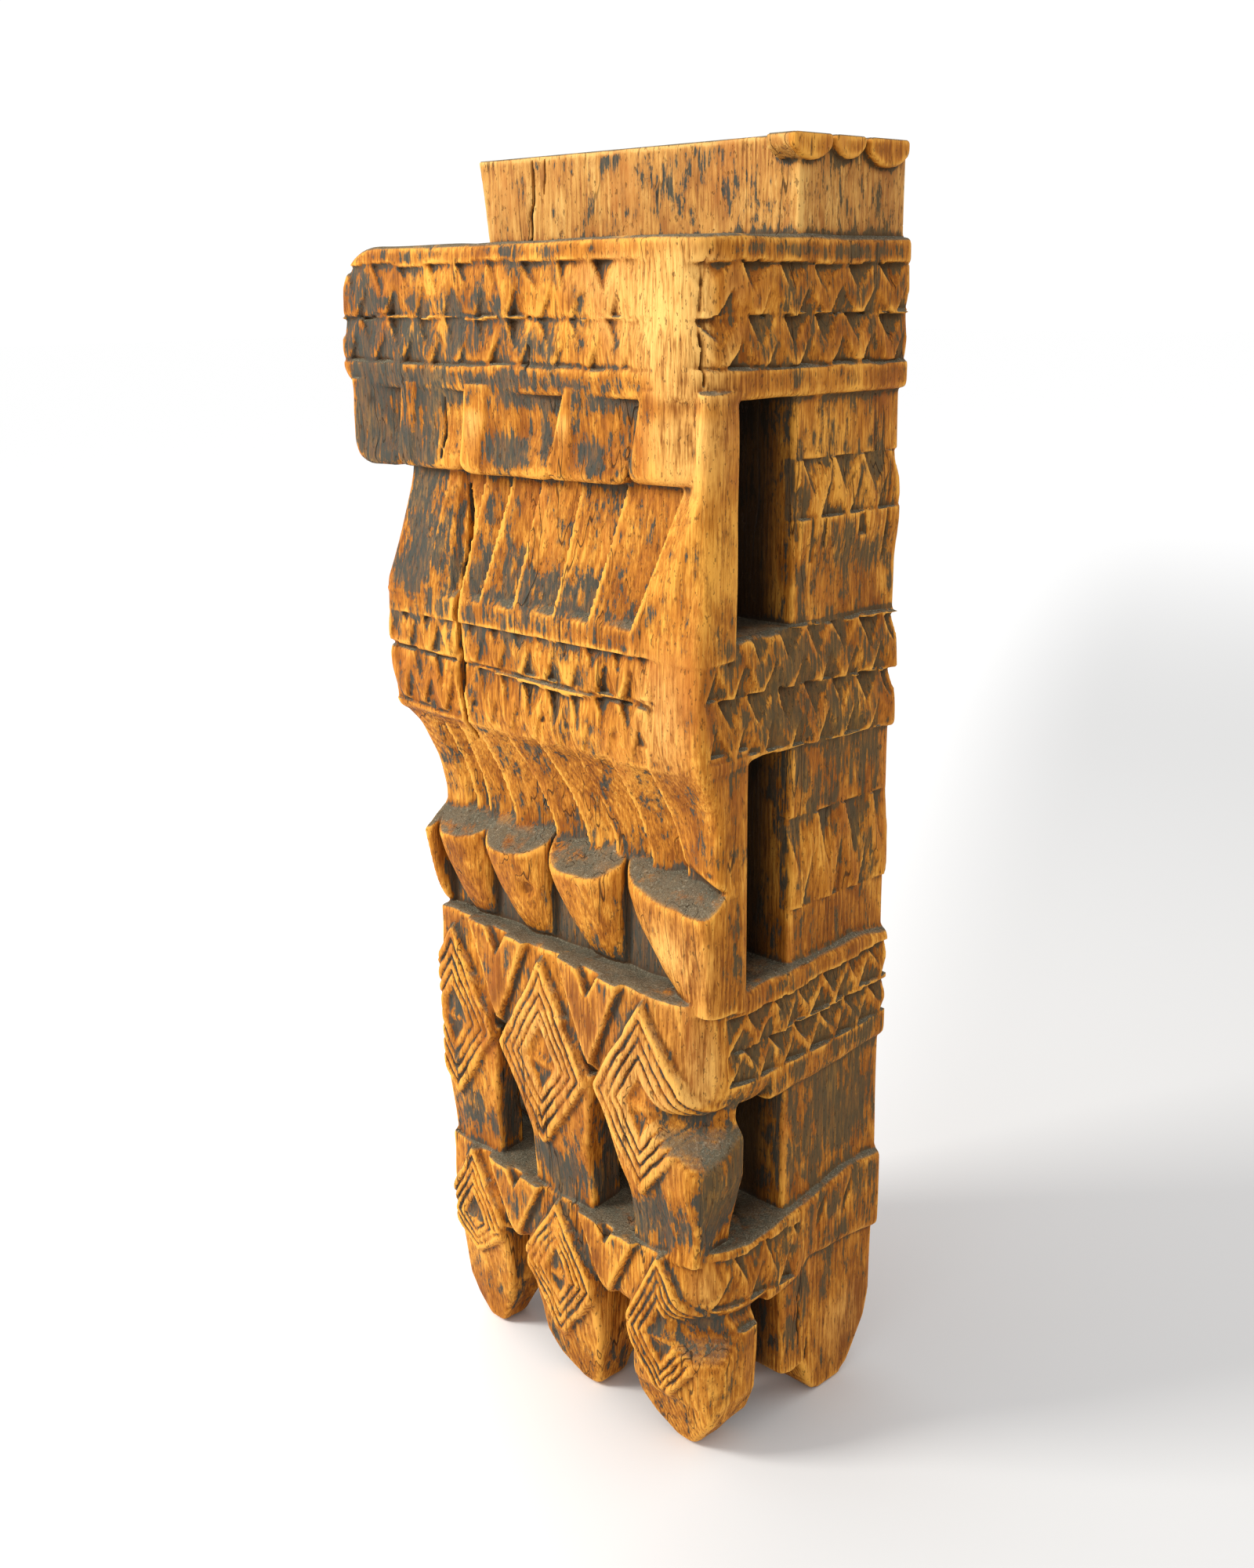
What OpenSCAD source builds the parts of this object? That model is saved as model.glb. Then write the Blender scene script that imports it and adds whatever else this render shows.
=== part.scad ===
// Carved softwood wall bracket: one upright timber worked into a post, an overhanging crown,
// a fluted front panel held off the post by open slots, three carved bands and six pendants.
// The carved members are separate solids that meet face to face.

/* [Overall] */
// Full height, from the pendant tips to the sawn top
overall_h = 1000; // [960:5:1060]
// Width across the crown, the widest member
crown_w = 392; // [380:2:420]
// Full depth, from the front of the crown to the back face
overall_d = 230; // [220:2:250]

/* [Post] */
// Width of the plain post behind the carving
post_w = 324; // [310:1:326]
// Depth of the post, front to back
post_d = 123; // [115:1:125]
// How far the side carving stands proud of the post
side_relief = 6; // [4:0.5:8]
// Height of the broken step at the front of the foot
foot_step_h = 36; // [25:1:45]

/* [Crown] */
// Height of the underside of the crown
crown_z = 829; // [820:1:835]
// Height of the crown block
crown_h = 107; // [100:1:115]
// Radius of the worn upper left end of the crown
crown_round_r = 40; // [30:1:45]
// Radius of the worn front corner of the crown
crown_corner_r = 26; // [15:1:35]
// How far the tabs hang below the crown
tab_drop = 61; // [50:1:70]

/* [Front panel] */
// Height of the underside of the middle band
mid_band_z = 580; // [575:1:585]
// Height of the middle band
mid_band_h = 86; // [80:1:90]
// Height of the ledge that the cups hang over
cup_ledge_z = 398; // [394:1:402]
// Height of the cups
cup_h = 69; // [60:1:72]
// Clear depth of the slot between the upper panel and the post
upper_slot_d = 64; // [55:1:68]
// Clear depth of the slot between the lower panel and the post
lower_slot_d = 50; // [45:1:58]

/* [Lozenge bands] */
// Underside of the upper lozenge band
upper_band_z = 300; // [296:1:304]
// Underside of the lower lozenge band
lower_band_z = 107; // [100:1:112]
// Height of the lower lozenge band
lower_band_h = 83; // [78:1:88]
// Spacing of the pendants, centre to centre
pendant_pitch = 120; // [112:1:122]
// Half width of a lozenge
lozenge_half_w = 56; // [50:1:58]
// Half height of a lozenge
lozenge_half_h = 80; // [70:1:84]

/* [Carving] */
// Depth of the chip-carved chevrons on the front
front_chip = 4; // [2:0.5:6]
// Depth of the chip-carved chevrons on the right side
side_chip = 5; // [3:0.5:6]
// Width and depth of the lines that part the rows
groove = 3; // [2:0.5:4]
// Spacing of the chevrons
chevron_pitch = 26; // [22:1:30]

/* [Hidden] */
$fn = 64;
eps = 0.5;

// Outer faces. The origin is the middle of the box that holds the whole bracket, at floor level.
right_x = crown_w / 2;
left_x = -crown_w / 2;
front_y = -overall_d / 2;
back_y = overall_d / 2;

// Post
post_right = right_x - side_relief;
post_left = post_right - post_w;
post_front = back_y - post_d;
crown_top = crown_z + crown_h;

// Front panel, from the crown down to the cup ledge
upper_back = post_front - upper_slot_d;
upper_face = upper_back - 12;
lower_back = post_front - lower_slot_d;
lower_face = lower_back - 10;
panel_left = post_left - 4;
flare_left = post_left - 16;
mid_band_top = mid_band_z + mid_band_h;
tab_z = crown_z - tab_drop;
cup_top = cup_ledge_z + cup_h;
lower_edge_front = front_y + 24;
edge_strip_w = 30;

// Lozenge bands
band_left = post_left + 6;
upper_band_front = front_y + 12;
lower_band_front = front_y + 15;
lower_band_top = lower_band_z + lower_band_h;
middle_pendant_x = 18;
pendant_back = lower_back - 2;
stem_half_w = 33;

// Chevron rows
row_h = 32;
chip_margin = 1.5;

// Tab edges across the front, left to right
tab_edges = [-184, -130, -55, 41, 117, right_x - 3];
// Cup edges across the front, left to right; the first cup is cut short by the corner
cup_edges = [-128, -112, -58, 16, 90, right_x - 16];

wood = "peru";
pale_wood = "burlywood";
dark_wood = "sienna";
worn_wood = "sandybrown";

// An outline of [y, z] points, run from x0 to x1
module along_x(x0, x1) {
    translate([x0, 0, 0]) rotate([90, 0, 90]) linear_extrude(x1 - x0) children();
}

// An outline of [x, z] points, run from y0 back to y1
module along_y(y0, y1) {
    translate([0, y1, 0]) rotate([90, 0, 0]) linear_extrude(y1 - y0) children();
}

// An outline of [x, y] points, run from z0 up to z1
module along_z(z0, z1) {
    translate([0, 0, z0]) linear_extrude(z1 - z0) children();
}

module block(low, high) {
    translate(low) cube(high - low);
}

// One row of chips: triangles cut from the top and the bottom by turns leave a zigzag ribbon
module chevron_row(length, height) {
    count = floor(length / chevron_pitch);
    step = length / count;
    for (i = [0 : count - 1]) {
        polygon([
            [i * step + chip_margin, height],
            [(i + 1) * step - chip_margin, height],
            [(i + 0.5) * step, 0.35 * height]
        ]);
    }
    for (i = [0 : count - 2]) {
        polygon([
            [(i + 0.5) * step + chip_margin, 0],
            [(i + 1.5) * step - chip_margin, 0],
            [(i + 1) * step, 0.65 * height]
        ]);
    }
}

// Chips on the front of a member, from x0 to x1, cut into the face at y
module front_chips(x0, x1, z, y) {
    along_y(y - eps, y + front_chip) translate([x0, z]) chevron_row(x1 - x0, row_h);
}

// Chips on the right side of a member, from y0 to y1, cut into the face at x
module side_chips(y0, y1, z, height = row_h, x = right_x) {
    along_x(x - side_chip, x + eps) translate([y0, z]) chevron_row(y1 - y0, height);
}

// Chips on the left side of a member
module left_chips(y0, y1, z, x, height = row_h) {
    along_x(x - eps, x + side_chip) translate([y0, z]) chevron_row(y1 - y0, height);
}

// A diamond with its middle at [x, z]
module diamond(x, z, scale_by = 1) {
    half_w = lozenge_half_w * scale_by;
    half_h = lozenge_half_h * scale_by;
    polygon([[x - half_w, z], [x, z - half_h], [x + half_w, z], [x, z + half_h]]);
}

// Sunk diamond lines, one inside the other, and a deeper middle, as on every lozenge
module lozenge_lines(x, z, y) {
    line_depth = 2.5;
    middle_depth = 6;
    for (ring = [0.44 : 0.2 : 0.84]) {
        along_y(y - eps, y + line_depth) difference() {
            diamond(x, z, ring);
            diamond(x, z, ring - 0.07);
        }
    }
    along_y(y - eps, y + middle_depth) diamond(x, z, 0.24);
}

function pendant_x(i) = middle_pendant_x + (i - 2) * pendant_pitch;

// Everything between the outer faces of the timber below the crown
module within_width(x0, x1 = right_x) {
    intersection() {
        children();
        block([x0, front_y, 0], [x1, back_y, overall_h]);
    }
}

// The plain head of the post, sawn off square and slightly flared
module shaft() {
    color(pale_wood)
    difference() {
        along_y(post_front, back_y) polygon([
            [post_left, crown_top],
            [post_right, crown_top],
            [post_right, overall_h],
            [post_left - 9, overall_h],
            [post_left - 5, overall_h - 20]
        ]);
        along_y(post_front - eps, post_front + 9) polygon([
            [-78, crown_top],
            [-76, crown_top],
            [-74, overall_h + eps],
            [-77, overall_h + eps]
        ]);
    }
}

// Rounded lower ends of the next carved row, cut short by the sawn top
module top_teeth() {
    teeth = [[post_front - 2, 35], [24, 34], [62, 44]];
    color(wood)
    for (tooth = teeth) {
        along_x(post_right, right_x) intersection() {
            translate([tooth[0], overall_h - 17]) square([tooth[1], 17]);
            translate([tooth[0] + tooth[1] / 2, overall_h + 8]) circle(r = 27);
        }
    }
}

// Overhanging crown: worn round at its left end and at its front corner
module crown() {
    chamfer_r = 16;
    row_1_z = crown_top - 18 - row_h;
    row_2_z = row_1_z - groove - row_h;
    color(wood)
    difference() {
        along_y(front_y, back_y) difference() {
            translate([left_x, crown_z]) square([crown_w, crown_h]);
            translate([left_x, crown_top - crown_round_r]) difference() {
                translate([-eps, 0]) square(crown_round_r + eps);
                translate([crown_round_r, 0]) circle(r = crown_round_r);
            }
            translate([left_x, crown_z]) difference() {
                translate([-eps, -eps]) square(chamfer_r + eps);
                translate([chamfer_r, chamfer_r]) circle(r = chamfer_r);
            }
        }
        along_z(crown_z - eps, crown_top + eps) {
            translate([right_x - crown_corner_r, front_y]) difference() {
                translate([0, -eps]) square(crown_corner_r + eps);
                translate([0, crown_corner_r]) circle(r = crown_corner_r);
            }
        }
        for (z = [row_1_z, row_2_z]) {
            front_chips(left_x + 26, right_x - 40, z, front_y);
            side_chips(front_y + 30, back_y - 2, z);
            block([left_x - eps, front_y - eps, z - groove], [right_x - 36, front_y + groove, z]);
            block([right_x - groove, front_y + 30, z - groove], [right_x + eps, back_y + eps, z]);
        }
    }
}

// One hanging tab: its left edge stands proud and its face falls back to the right
module tab(i) {
    x0 = tab_edges[i - 1];
    x1 = tab_edges[i];
    tab_front = front_y + 2;
    corner_r = 9;
    color(i == 1 ? dark_wood : worn_wood)
    intersection() {
        along_z(tab_z, crown_z) polygon([
            [x0, upper_face],
            [x0, tab_front + 4],
            [x0 + 4, tab_front],
            [x1, tab_front + 12],
            [x1, upper_face]
        ]);
        along_y(front_y, upper_face) union() {
            translate([x0, tab_z + corner_r]) square([x1 - x0, tab_drop]);
            translate([x0 + corner_r, tab_z]) square([x1 - x0 - 2 * corner_r, corner_r + eps]);
            for (x = [x0 + corner_r, x1 - corner_r]) translate([x, tab_z + corner_r]) circle(r = corner_r);
        }
    }
}

// Plain post behind the carving, with its broken and rounded foot
module post() {
    color(dark_wood)
    difference() {
        along_x(post_left, post_right) polygon([
            [post_front, crown_z],
            [post_front, foot_step_h + 4],
            [post_front + 16, foot_step_h - 2],
            [post_front + 28, foot_step_h],
            [post_front + 38, 8],
            [post_front + 45, 0],
            [back_y - 43, 0],
            [back_y - 25, 18],
            [back_y - 9, 42],
            [back_y - 2, 66],
            [back_y, 90],
            [back_y, crown_z]
        ]);
        // Drying crack above the foot
        along_x(post_right - 12, post_right + eps) polygon([
            [post_front + 6, 46],
            [post_front + 9, 46],
            [post_front + 44, 112],
            [post_front + 42, 113]
        ]);
    }
}

// Thin back of the upper panel, in front of the upper slot
module upper_panel() {
    color(wood)
    block([panel_left, upper_face, mid_band_top], [right_x, upper_back, crown_z]);
}

// Pleats that flare outwards from under the tabs to the middle band
module upper_flutes() {
    pleats = 7;
    pleat_w = 43;
    pleat_cut = 7;
    slant = 24;
    lean = -12;
    top_front = upper_face - 10;
    leftmost = -118;
    color(wood)
    difference() {
        along_y(front_y, upper_face) polygon([
            [panel_left, tab_z],
            [flare_left, mid_band_top],
            [right_x, mid_band_top],
            [right_x, tab_z]
        ]);
        // Flared face, left of the plain corner strip
        along_x(left_x, right_x - edge_strip_w) polygon([
            [front_y - eps, tab_z + eps],
            [top_front, tab_z + eps],
            [front_y + 6, mid_band_top + 30],
            [front_y + 1, mid_band_top + 10],
            [front_y - eps, mid_band_top + 9]
        ]);
        for (i = [0 : pleats - 1]) {
            translate([leftmost + i * pleat_w, top_front, tab_z]) rotate([0, slant, 0]) rotate([lean, 0, 0])
                translate([0, 0, -96]) linear_extrude(110) polygon([
                    [0, 0],
                    [pleat_w - 6, pleat_cut],
                    [pleat_w - 5, -30],
                    [0, -30]
                ]);
        }
    }
}

// Widest band: two rows of chevrons on the front and on both sides
module mid_band() {
    row_1_z = mid_band_top - groove - row_h - 4;
    row_2_z = row_1_z - groove - row_h - 2;
    color(worn_wood)
    difference() {
        along_x(flare_left, right_x) polygon([
            [post_front, mid_band_z],
            [front_y + 14, mid_band_z],
            [front_y + 3, mid_band_z + 12],
            [front_y, mid_band_z + 40],
            [front_y + 2, mid_band_top],
            [post_front, mid_band_top]
        ]);
        for (z = [row_1_z, row_2_z]) {
            front_chips(flare_left + 4, right_x - 38, z, front_y + 1);
            side_chips(front_y + 4, post_front - 2, z);
            left_chips(front_y + 4, post_front - 2, z, flare_left);
            block([flare_left - eps, front_y - eps, z - groove], [right_x - 30, front_y + groove + 1, z]);
        }
    }
}

// The middle band carried on round the sides of the post
module mid_band_side() {
    row_1_z = mid_band_top - groove - row_h - 4;
    row_2_z = row_1_z - groove - row_h - 2;
    color(wood)
    difference() {
        union() {
            block([post_right, post_front, mid_band_z - 2], [right_x, back_y, mid_band_top]);
            block([flare_left, post_front, mid_band_z - 2], [post_left, back_y, mid_band_top]);
        }
        for (z = [row_1_z, row_2_z]) {
            side_chips(post_front + 2, back_y - 1, z);
            left_chips(post_front + 2, back_y - 1, z, flare_left);
        }
    }
}

// A zigzag ribbon in low relief on the right side of the post, from y0 to y1
module side_zigzag(y0, y1, z, height, peaks, ribbon) {
    step = (y1 - y0) / peaks;
    points_up = [for (i = [0 : 2 * peaks]) [y0 + i * step / 2, z + (i % 2) * (height - ribbon)]];
    points_down = [for (p = points_up) [p[0], p[1] + ribbon]];
    polygon(concat(points_up, [for (i = [2 * peaks : -1 : 0]) points_down[i]]));
}

// Zigzag over a row of square notches, level with the upper slot
module upper_side_relief() {
    relief = 4;
    color(dark_wood)
    union() {
        along_x(post_right, post_right + relief) side_zigzag(0, 112, 742, 46, 3, 15);
        for (y = [6 : 24 : 102]) {
            block([post_right, y, 704], [post_right + relief, y + 12, 736]);
        }
    }
}

// Tall zigzag level with the lower slot
module lower_side_relief() {
    relief = 4;
    color(dark_wood)
    along_x(post_right, post_right + relief) side_zigzag(10, 114, 447, 74, 3, 26);
}

// Thin back of the lower panel, in front of the lower slot
module lower_panel() {
    color(wood)
    block([panel_left, lower_face, cup_ledge_z], [right_x, lower_back, mid_band_z]);
}

// Pleats that fall back from the middle band to the dusty shelf above the cups
module lower_flutes() {
    pleats = 8;
    pleat_w = 40;
    pleat_cut = 6;
    slant = -28;
    lean = 15;
    shelf_front = lower_face - 9;
    leftmost = -176;
    color(wood)
    difference() {
        union() {
            along_x(panel_left, right_x - edge_strip_w) polygon([
                [lower_face, cup_top],
                [shelf_front, cup_top],
                [shelf_front, cup_top + 18],
                [front_y + 16, mid_band_z - 26],
                [front_y + 10, mid_band_z],
                [lower_face, mid_band_z]
            ]);
            along_x(right_x - edge_strip_w, right_x) polygon([
                [lower_face, cup_top],
                [lower_edge_front, cup_top],
                [lower_edge_front, mid_band_z - 50],
                [front_y + 12, mid_band_z],
                [lower_face, mid_band_z]
            ]);
        }
        for (i = [0 : pleats - 1]) {
            translate([leftmost + i * pleat_w, front_y + 10, mid_band_z - 14])
                rotate([0, slant, 0]) rotate([lean, 0, 0])
                translate([0, 0, -118]) linear_extrude(118) polygon([
                    [0, 0],
                    [pleat_w - 5, pleat_cut],
                    [pleat_w - 4, -30],
                    [0, -30]
                ]);
        }
    }
}

// One cup: flat on top, round in plan and tapering down and back to the ledge
module cup(i) {
    x0 = cup_edges[i - 1];
    x1 = cup_edges[i];
    half_w = (x1 - x0) / 2;
    top_front = front_y + 12;
    reach = lower_face - top_front;
    color(worn_wood)
    intersection() {
        block([x0, top_front, cup_ledge_z], [x1, lower_face, cup_top]);
        translate([x0 + half_w + 4, lower_face + 22, cup_ledge_z])
            cylinder(h = cup_h, r1 = reach + 10, r2 = reach + 22);
    }
    if (i == len(cup_edges) - 1) {
        color(worn_wood) block([x1, lower_edge_front, cup_ledge_z], [right_x, lower_face, cup_top]);
    }
}

// Upper lozenge band, with the ledge on top and a rounded nose on the right side
module upper_lozenge_band() {
    nose_r = 14;
    color(wood)
    difference() {
        along_x(band_left, right_x) difference() {
            translate([upper_band_front + 5, upper_band_z])
                square([post_front - upper_band_front - 5, cup_ledge_z - upper_band_z]);
            translate([upper_band_front + 5, upper_band_z]) difference() {
                translate([-eps, -eps]) square(nose_r + eps);
                translate([nose_r, nose_r]) circle(r = nose_r);
            }
        }
        for (i = [1 : 3]) {
            along_y(front_y - eps, upper_band_front + 24)
                diamond(pendant_x(i), upper_band_z + 6);
        }
        for (z = [upper_band_z + 16, upper_band_z + 52]) {
            side_chips(upper_band_front + 22, post_front - 3, z, 30);
        }
    }
}

// Raised V between two lozenges
module vee(x, z_top, drop, y0, y1) {
    top_half_w = 46;
    along_y(y0, y1) polygon([
        [x - top_half_w * 0.72, z_top],
        [x, z_top - drop],
        [x + top_half_w * 0.72, z_top],
        [x + top_half_w * 0.3, z_top],
        [x, z_top - drop * 0.42],
        [x - top_half_w * 0.3, z_top]
    ]);
}

module upper_vees() {
    color(worn_wood)
    for (i = [1 : 2]) {
        vee(pendant_x(i) + pendant_pitch / 2, cup_ledge_z, 76, upper_band_front, upper_band_front + 5);
    }
}

// The upper lozenge band carried on round the sides of the post
module upper_band_side() {
    color(wood)
    difference() {
        union() {
            block([post_right, post_front, upper_band_z], [right_x, back_y, cup_ledge_z + 4]);
            block([post_left - 6, post_front, upper_band_z], [post_left, back_y, cup_ledge_z + 4]);
        }
        for (z = [upper_band_z + 16, upper_band_z + 52]) {
            side_chips(post_front + 2, back_y - 1, z, 30);
        }
    }
}

// Upper pendant: a lozenge on the band above, then a stem down to the band below
module upper_pendant(i) {
    x = pendant_x(i);
    z = upper_band_z + 6;
    front = front_y + 6;
    stem_right = i == 3 ? right_x - 14 : x + stem_half_w;
    color(worn_wood)
    within_width(band_left) difference() {
        union() {
            along_y(front, upper_band_front + 24) diamond(x, z);
            along_y(front + 14, pendant_back) polygon([
                [x - lozenge_half_w + 2, upper_band_z],
                [x - stem_half_w, upper_band_z - 66],
                [x - stem_half_w, lower_band_top],
                [stem_right, lower_band_top],
                [stem_right, upper_band_z - 66],
                [i == 3 ? stem_right : x + lozenge_half_w - 2, upper_band_z]
            ]);
        }
        lozenge_lines(x, z, front);
    }
}

// Lower lozenge band, with the second ledge on top
module lower_lozenge_band() {
    nose_r = 12;
    color(wood)
    difference() {
        along_x(band_left, right_x) difference() {
            translate([lower_band_front + 5, lower_band_z])
                square([post_front - lower_band_front - 5, lower_band_h]);
            translate([lower_band_front + 5, lower_band_z]) difference() {
                translate([-eps, -eps]) square(nose_r + eps);
                translate([nose_r, nose_r]) circle(r = nose_r);
            }
        }
        for (i = [1 : 3]) {
            along_y(front_y - eps, lower_band_front + 24)
                diamond(pendant_x(i), lower_band_z + 3);
        }
        side_chips(lower_band_front + 22, post_front - 3, lower_band_z + 24, 36);
    }
}

module lower_vees() {
    color(worn_wood)
    for (i = [1 : 2]) {
        vee(pendant_x(i) + pendant_pitch / 2, lower_band_top, 66, lower_band_front, lower_band_front + 5);
    }
}

// The lower lozenge band carried on round the sides of the post
module lower_band_side() {
    color(wood)
    difference() {
        union() {
            block([post_right, post_front, lower_band_z + 4], [right_x, back_y, lower_band_top + 6]);
            block([post_left - 6, post_front, lower_band_z + 4], [post_left, back_y, lower_band_top + 6]);
        }
        side_chips(post_front + 2, back_y - 1, lower_band_z + 26, 36);
    }
}

// Lower pendant: a lozenge, then a body that ends in a blunt wedge on the floor
module lower_pendant(i) {
    x = pendant_x(i);
    z = lower_band_z + 3;
    front = front_y + 9;
    tip_x = x + 12;
    tip_half_w = 7;
    right_half_w = i == 3 ? right_x - x : 44;
    color(worn_wood)
    within_width(band_left) difference() {
        union() {
            along_y(front, lower_band_front + 24) intersection() {
                diamond(x, z);
                translate([left_x, z - 0.62 * lozenge_half_h]) square([crown_w, overall_h]);
            }
            intersection() {
                along_y(front + 8, pendant_back + 14) polygon([
                    [x - lozenge_half_w + 6, lower_band_z],
                    [x - lozenge_half_w + 12, lower_band_z - 52],
                    [tip_x - tip_half_w, 0],
                    [tip_x + tip_half_w, 0],
                    [x + right_half_w, lower_band_z - 50],
                    [x + right_half_w, lower_band_z]
                ]);
                along_x(left_x, right_x) polygon([
                    [front + 8, lower_band_z],
                    [front + 8, lower_band_z - 72],
                    [front + 30, 0],
                    [pendant_back + 14, 0],
                    [pendant_back + 14, lower_band_z]
                ]);
            }
        }
        lozenge_lines(x, z, front);
    }
}

shaft();
top_teeth();
crown();
tab(1);  // tab_1
tab(2);  // tab_2
tab(3);  // tab_3
tab(4);  // tab_4
tab(5);  // tab_5
post();
upper_panel();
upper_flutes();
mid_band();
mid_band_side();
upper_side_relief();
lower_side_relief();
lower_panel();
lower_flutes();
cup(1);  // cup_1
cup(2);  // cup_2
cup(3);  // cup_3
cup(4);  // cup_4
cup(5);  // cup_5
upper_lozenge_band();
upper_vees();
upper_band_side();
upper_pendant(1);  // upper_pendant_1
upper_pendant(2);  // upper_pendant_2
upper_pendant(3);  // upper_pendant_3
lower_lozenge_band();
lower_vees();
lower_band_side();
lower_pendant(1);  // lower_pendant_1
lower_pendant(2);  // lower_pendant_2
lower_pendant(3);  // lower_pendant_3
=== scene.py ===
"""Looks of the carved timber bracket.

The wood is one continuous sculpted surface. Functions of x, y and z, in millimetres, give how far
a point is outside the wood; each carved member is sampled on a lattice, meshed, and cut to the
prism that its CAD node fills, so neighbouring pieces meet exactly.
"""

import itertools
import math
from types import SimpleNamespace

import bpy
import numpy as np
import openvdb
from mathutils import Matrix, Vector


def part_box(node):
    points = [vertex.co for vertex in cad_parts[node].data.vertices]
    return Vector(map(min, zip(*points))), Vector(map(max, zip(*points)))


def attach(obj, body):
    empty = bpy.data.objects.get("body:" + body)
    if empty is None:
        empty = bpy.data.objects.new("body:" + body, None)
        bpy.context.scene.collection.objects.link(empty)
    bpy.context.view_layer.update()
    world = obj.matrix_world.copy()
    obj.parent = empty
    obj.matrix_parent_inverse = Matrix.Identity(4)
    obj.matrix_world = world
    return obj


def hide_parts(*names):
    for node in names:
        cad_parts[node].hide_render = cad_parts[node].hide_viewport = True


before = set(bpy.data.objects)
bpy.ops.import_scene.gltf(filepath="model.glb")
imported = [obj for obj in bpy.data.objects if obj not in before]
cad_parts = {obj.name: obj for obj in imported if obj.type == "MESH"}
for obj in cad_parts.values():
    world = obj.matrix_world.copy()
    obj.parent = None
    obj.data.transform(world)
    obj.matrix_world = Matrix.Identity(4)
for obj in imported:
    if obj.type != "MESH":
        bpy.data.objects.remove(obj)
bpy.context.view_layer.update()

MM = 0.001
BODY = "root"
STEP = 1.6   # lattice step, in mm
FAR = 1000.0                        # well outside the wood
SEAM = 2.5                          # fillet where two members meet
X, Y, Z = 0, 1, 2


# ---------------------------------------------------------------- sizes, from the frame

def span(node, axis):
    """Lowest and highest place of a CAD node along one axis, in mm."""
    low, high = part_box(node)
    return low[axis] / MM, high[axis] / MM


left_x, right_x = span("crown", X)
front_y, back_y = span("crown", Y)
crown_z, crown_top = span("crown", Z)
top_z = span("shaft", Z)[1]
tab_z = span("tab_3", Z)[0]
tab_edges = [span(f"tab_{i}", X)[0] for i in range(1, 6)] + [span("tab_5", X)[1]]
post_left, post_right = span("post", X)
post_front = span("post", Y)[0]
upper_face, upper_back = span("upper_panel", Y)
lower_face, lower_back = span("lower_panel", Y)
flare_left = span("mid_band", X)[0]
mid_z, mid_top = span("mid_band", Z)
side_mid_z, side_mid_top = span("mid_band_side", Z)
cup_z, cup_top = span("cup_3", Z)
band_left = span("upper_lozenge_band", X)[0]
band_a_z = span("upper_lozenge_band", Z)[0]
side_a_z, side_a_top = span("upper_band_side", Z)
band_b_z, band_b_top = span("lower_lozenge_band", Z)
side_b_z, side_b_top = span("lower_band_side", Z)
pendant_back = span("upper_pendant_2", Y)[1]
lower_body_back = span("lower_pendant_2", Y)[1]


# ---------------------------------------------------------------- small numeric tools

def noise(seed, sizes, *coords):
    """Smooth noise between -1 and 1; sizes is the width of one bump along each coordinate, in mm."""
    count = 64
    table = np.random.default_rng(seed).uniform(-1, 1, (count,) * len(coords)).astype(np.float32)
    cells = []
    for c, size in zip(coords, sizes):
        t = np.asarray(c, np.float32) / size + 1000
        whole = np.floor(t)
        f = t - whole
        index = whole.astype(np.int32)
        cells.append((index % count, (index + 1) % count, f * f * (3 - 2 * f)))
    total = 0
    for corner in itertools.product((0, 1), repeat=len(coords)):
        weight, index = 1, []
        for bit, (low, high, f) in zip(corner, cells):
            weight = weight * (f if bit else 1 - f)
            index.append(high if bit else low)
        total = total + weight * table[tuple(index)]
    return total


def smooth(t):
    t = np.clip(t, 0, 1)
    return t * t * (3 - 2 * t)


def ramp(value, low, high):
    """0 below low, 1 above high, smooth between."""
    return smooth((value - low) / (high - low))


def mix(a, b, t):
    return a + (b - a) * t


def curve(value, points):
    """A smoothed line through (place, height) points."""
    at, height = zip(*points)
    reach = 3
    return sum(np.interp(value + shift, at, height) for shift in (-reach, 0, reach)) / 3


def meet(r, *sides):
    """The wood inside all the sides, with its edges worn to about r."""
    total = sides[0]
    for side in sides[1:]:
        near = np.maximum(r - np.abs(total - side), 0)
        total = np.maximum(total, side) + near * near / (4 * r)
    return total


def groove(distance, half_w, depth):
    """A V-shaped line: distance is measured from its middle."""
    return depth * np.clip(1 - np.abs(distance) / half_w, 0, 1)


# ---------------------------------------------------------------- carved patterns

def chip_row(s, t, pitch, height, depth, apex, opening, arch=1.0):
    """Depth of a row of chips. s runs along the row and t up from its lower edge. Triangles cut from
    the top, at odd half pitches, and from the bottom, at whole pitches, leave a zigzag ribbon. Each
    chip is sheer at its left, and its floor rises to the right."""
    edge = 1.8   # how far the rim of a chip is worn
    total = 0
    for middle, rise in ((pitch / 2, t / height), (0, 1 - t / height)):
        uneven = 0.82 + 0.18 * np.sin(1.7 * np.round((s - middle) / pitch) + 3 * middle)
        along = np.mod(s - middle + pitch / 2, pitch) - pitch / 2
        half = opening * pitch * np.clip((rise - apex) / (1 - apex), 0, 1) ** arch
        floor = np.clip((1.3 * half - along) / (2 * opening * pitch), 0, 1) ** 0.7
        sheer = np.clip((along + half) / edge + 0.5, 0, 1)
        inside = np.clip((1 - rise) * height / edge + 0.5, 0, 1) * (rise > apex)
        total = np.maximum(total, floor * sheer * inside * uneven)
    return depth * total


def row(s, t, pitch, height, *shape):
    """A row of chips that keeps to its own strip."""
    return chip_row(s, t, pitch, height, *shape) * (t > 0) * (t < height)


def wobble(seed, a, b, reach=1.6):
    """The unsteadiness of a hand-cut line."""
    return reach * noise(seed, (34, 21), a, b) + 0.9 * noise(seed + 200, (9, 13), a, b)


def shingle(t, height, depth):
    """A row leans back towards its top, so that the row above overhangs it."""
    return depth * smooth(t / height) * (t > 0) * (t < height)


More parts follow.
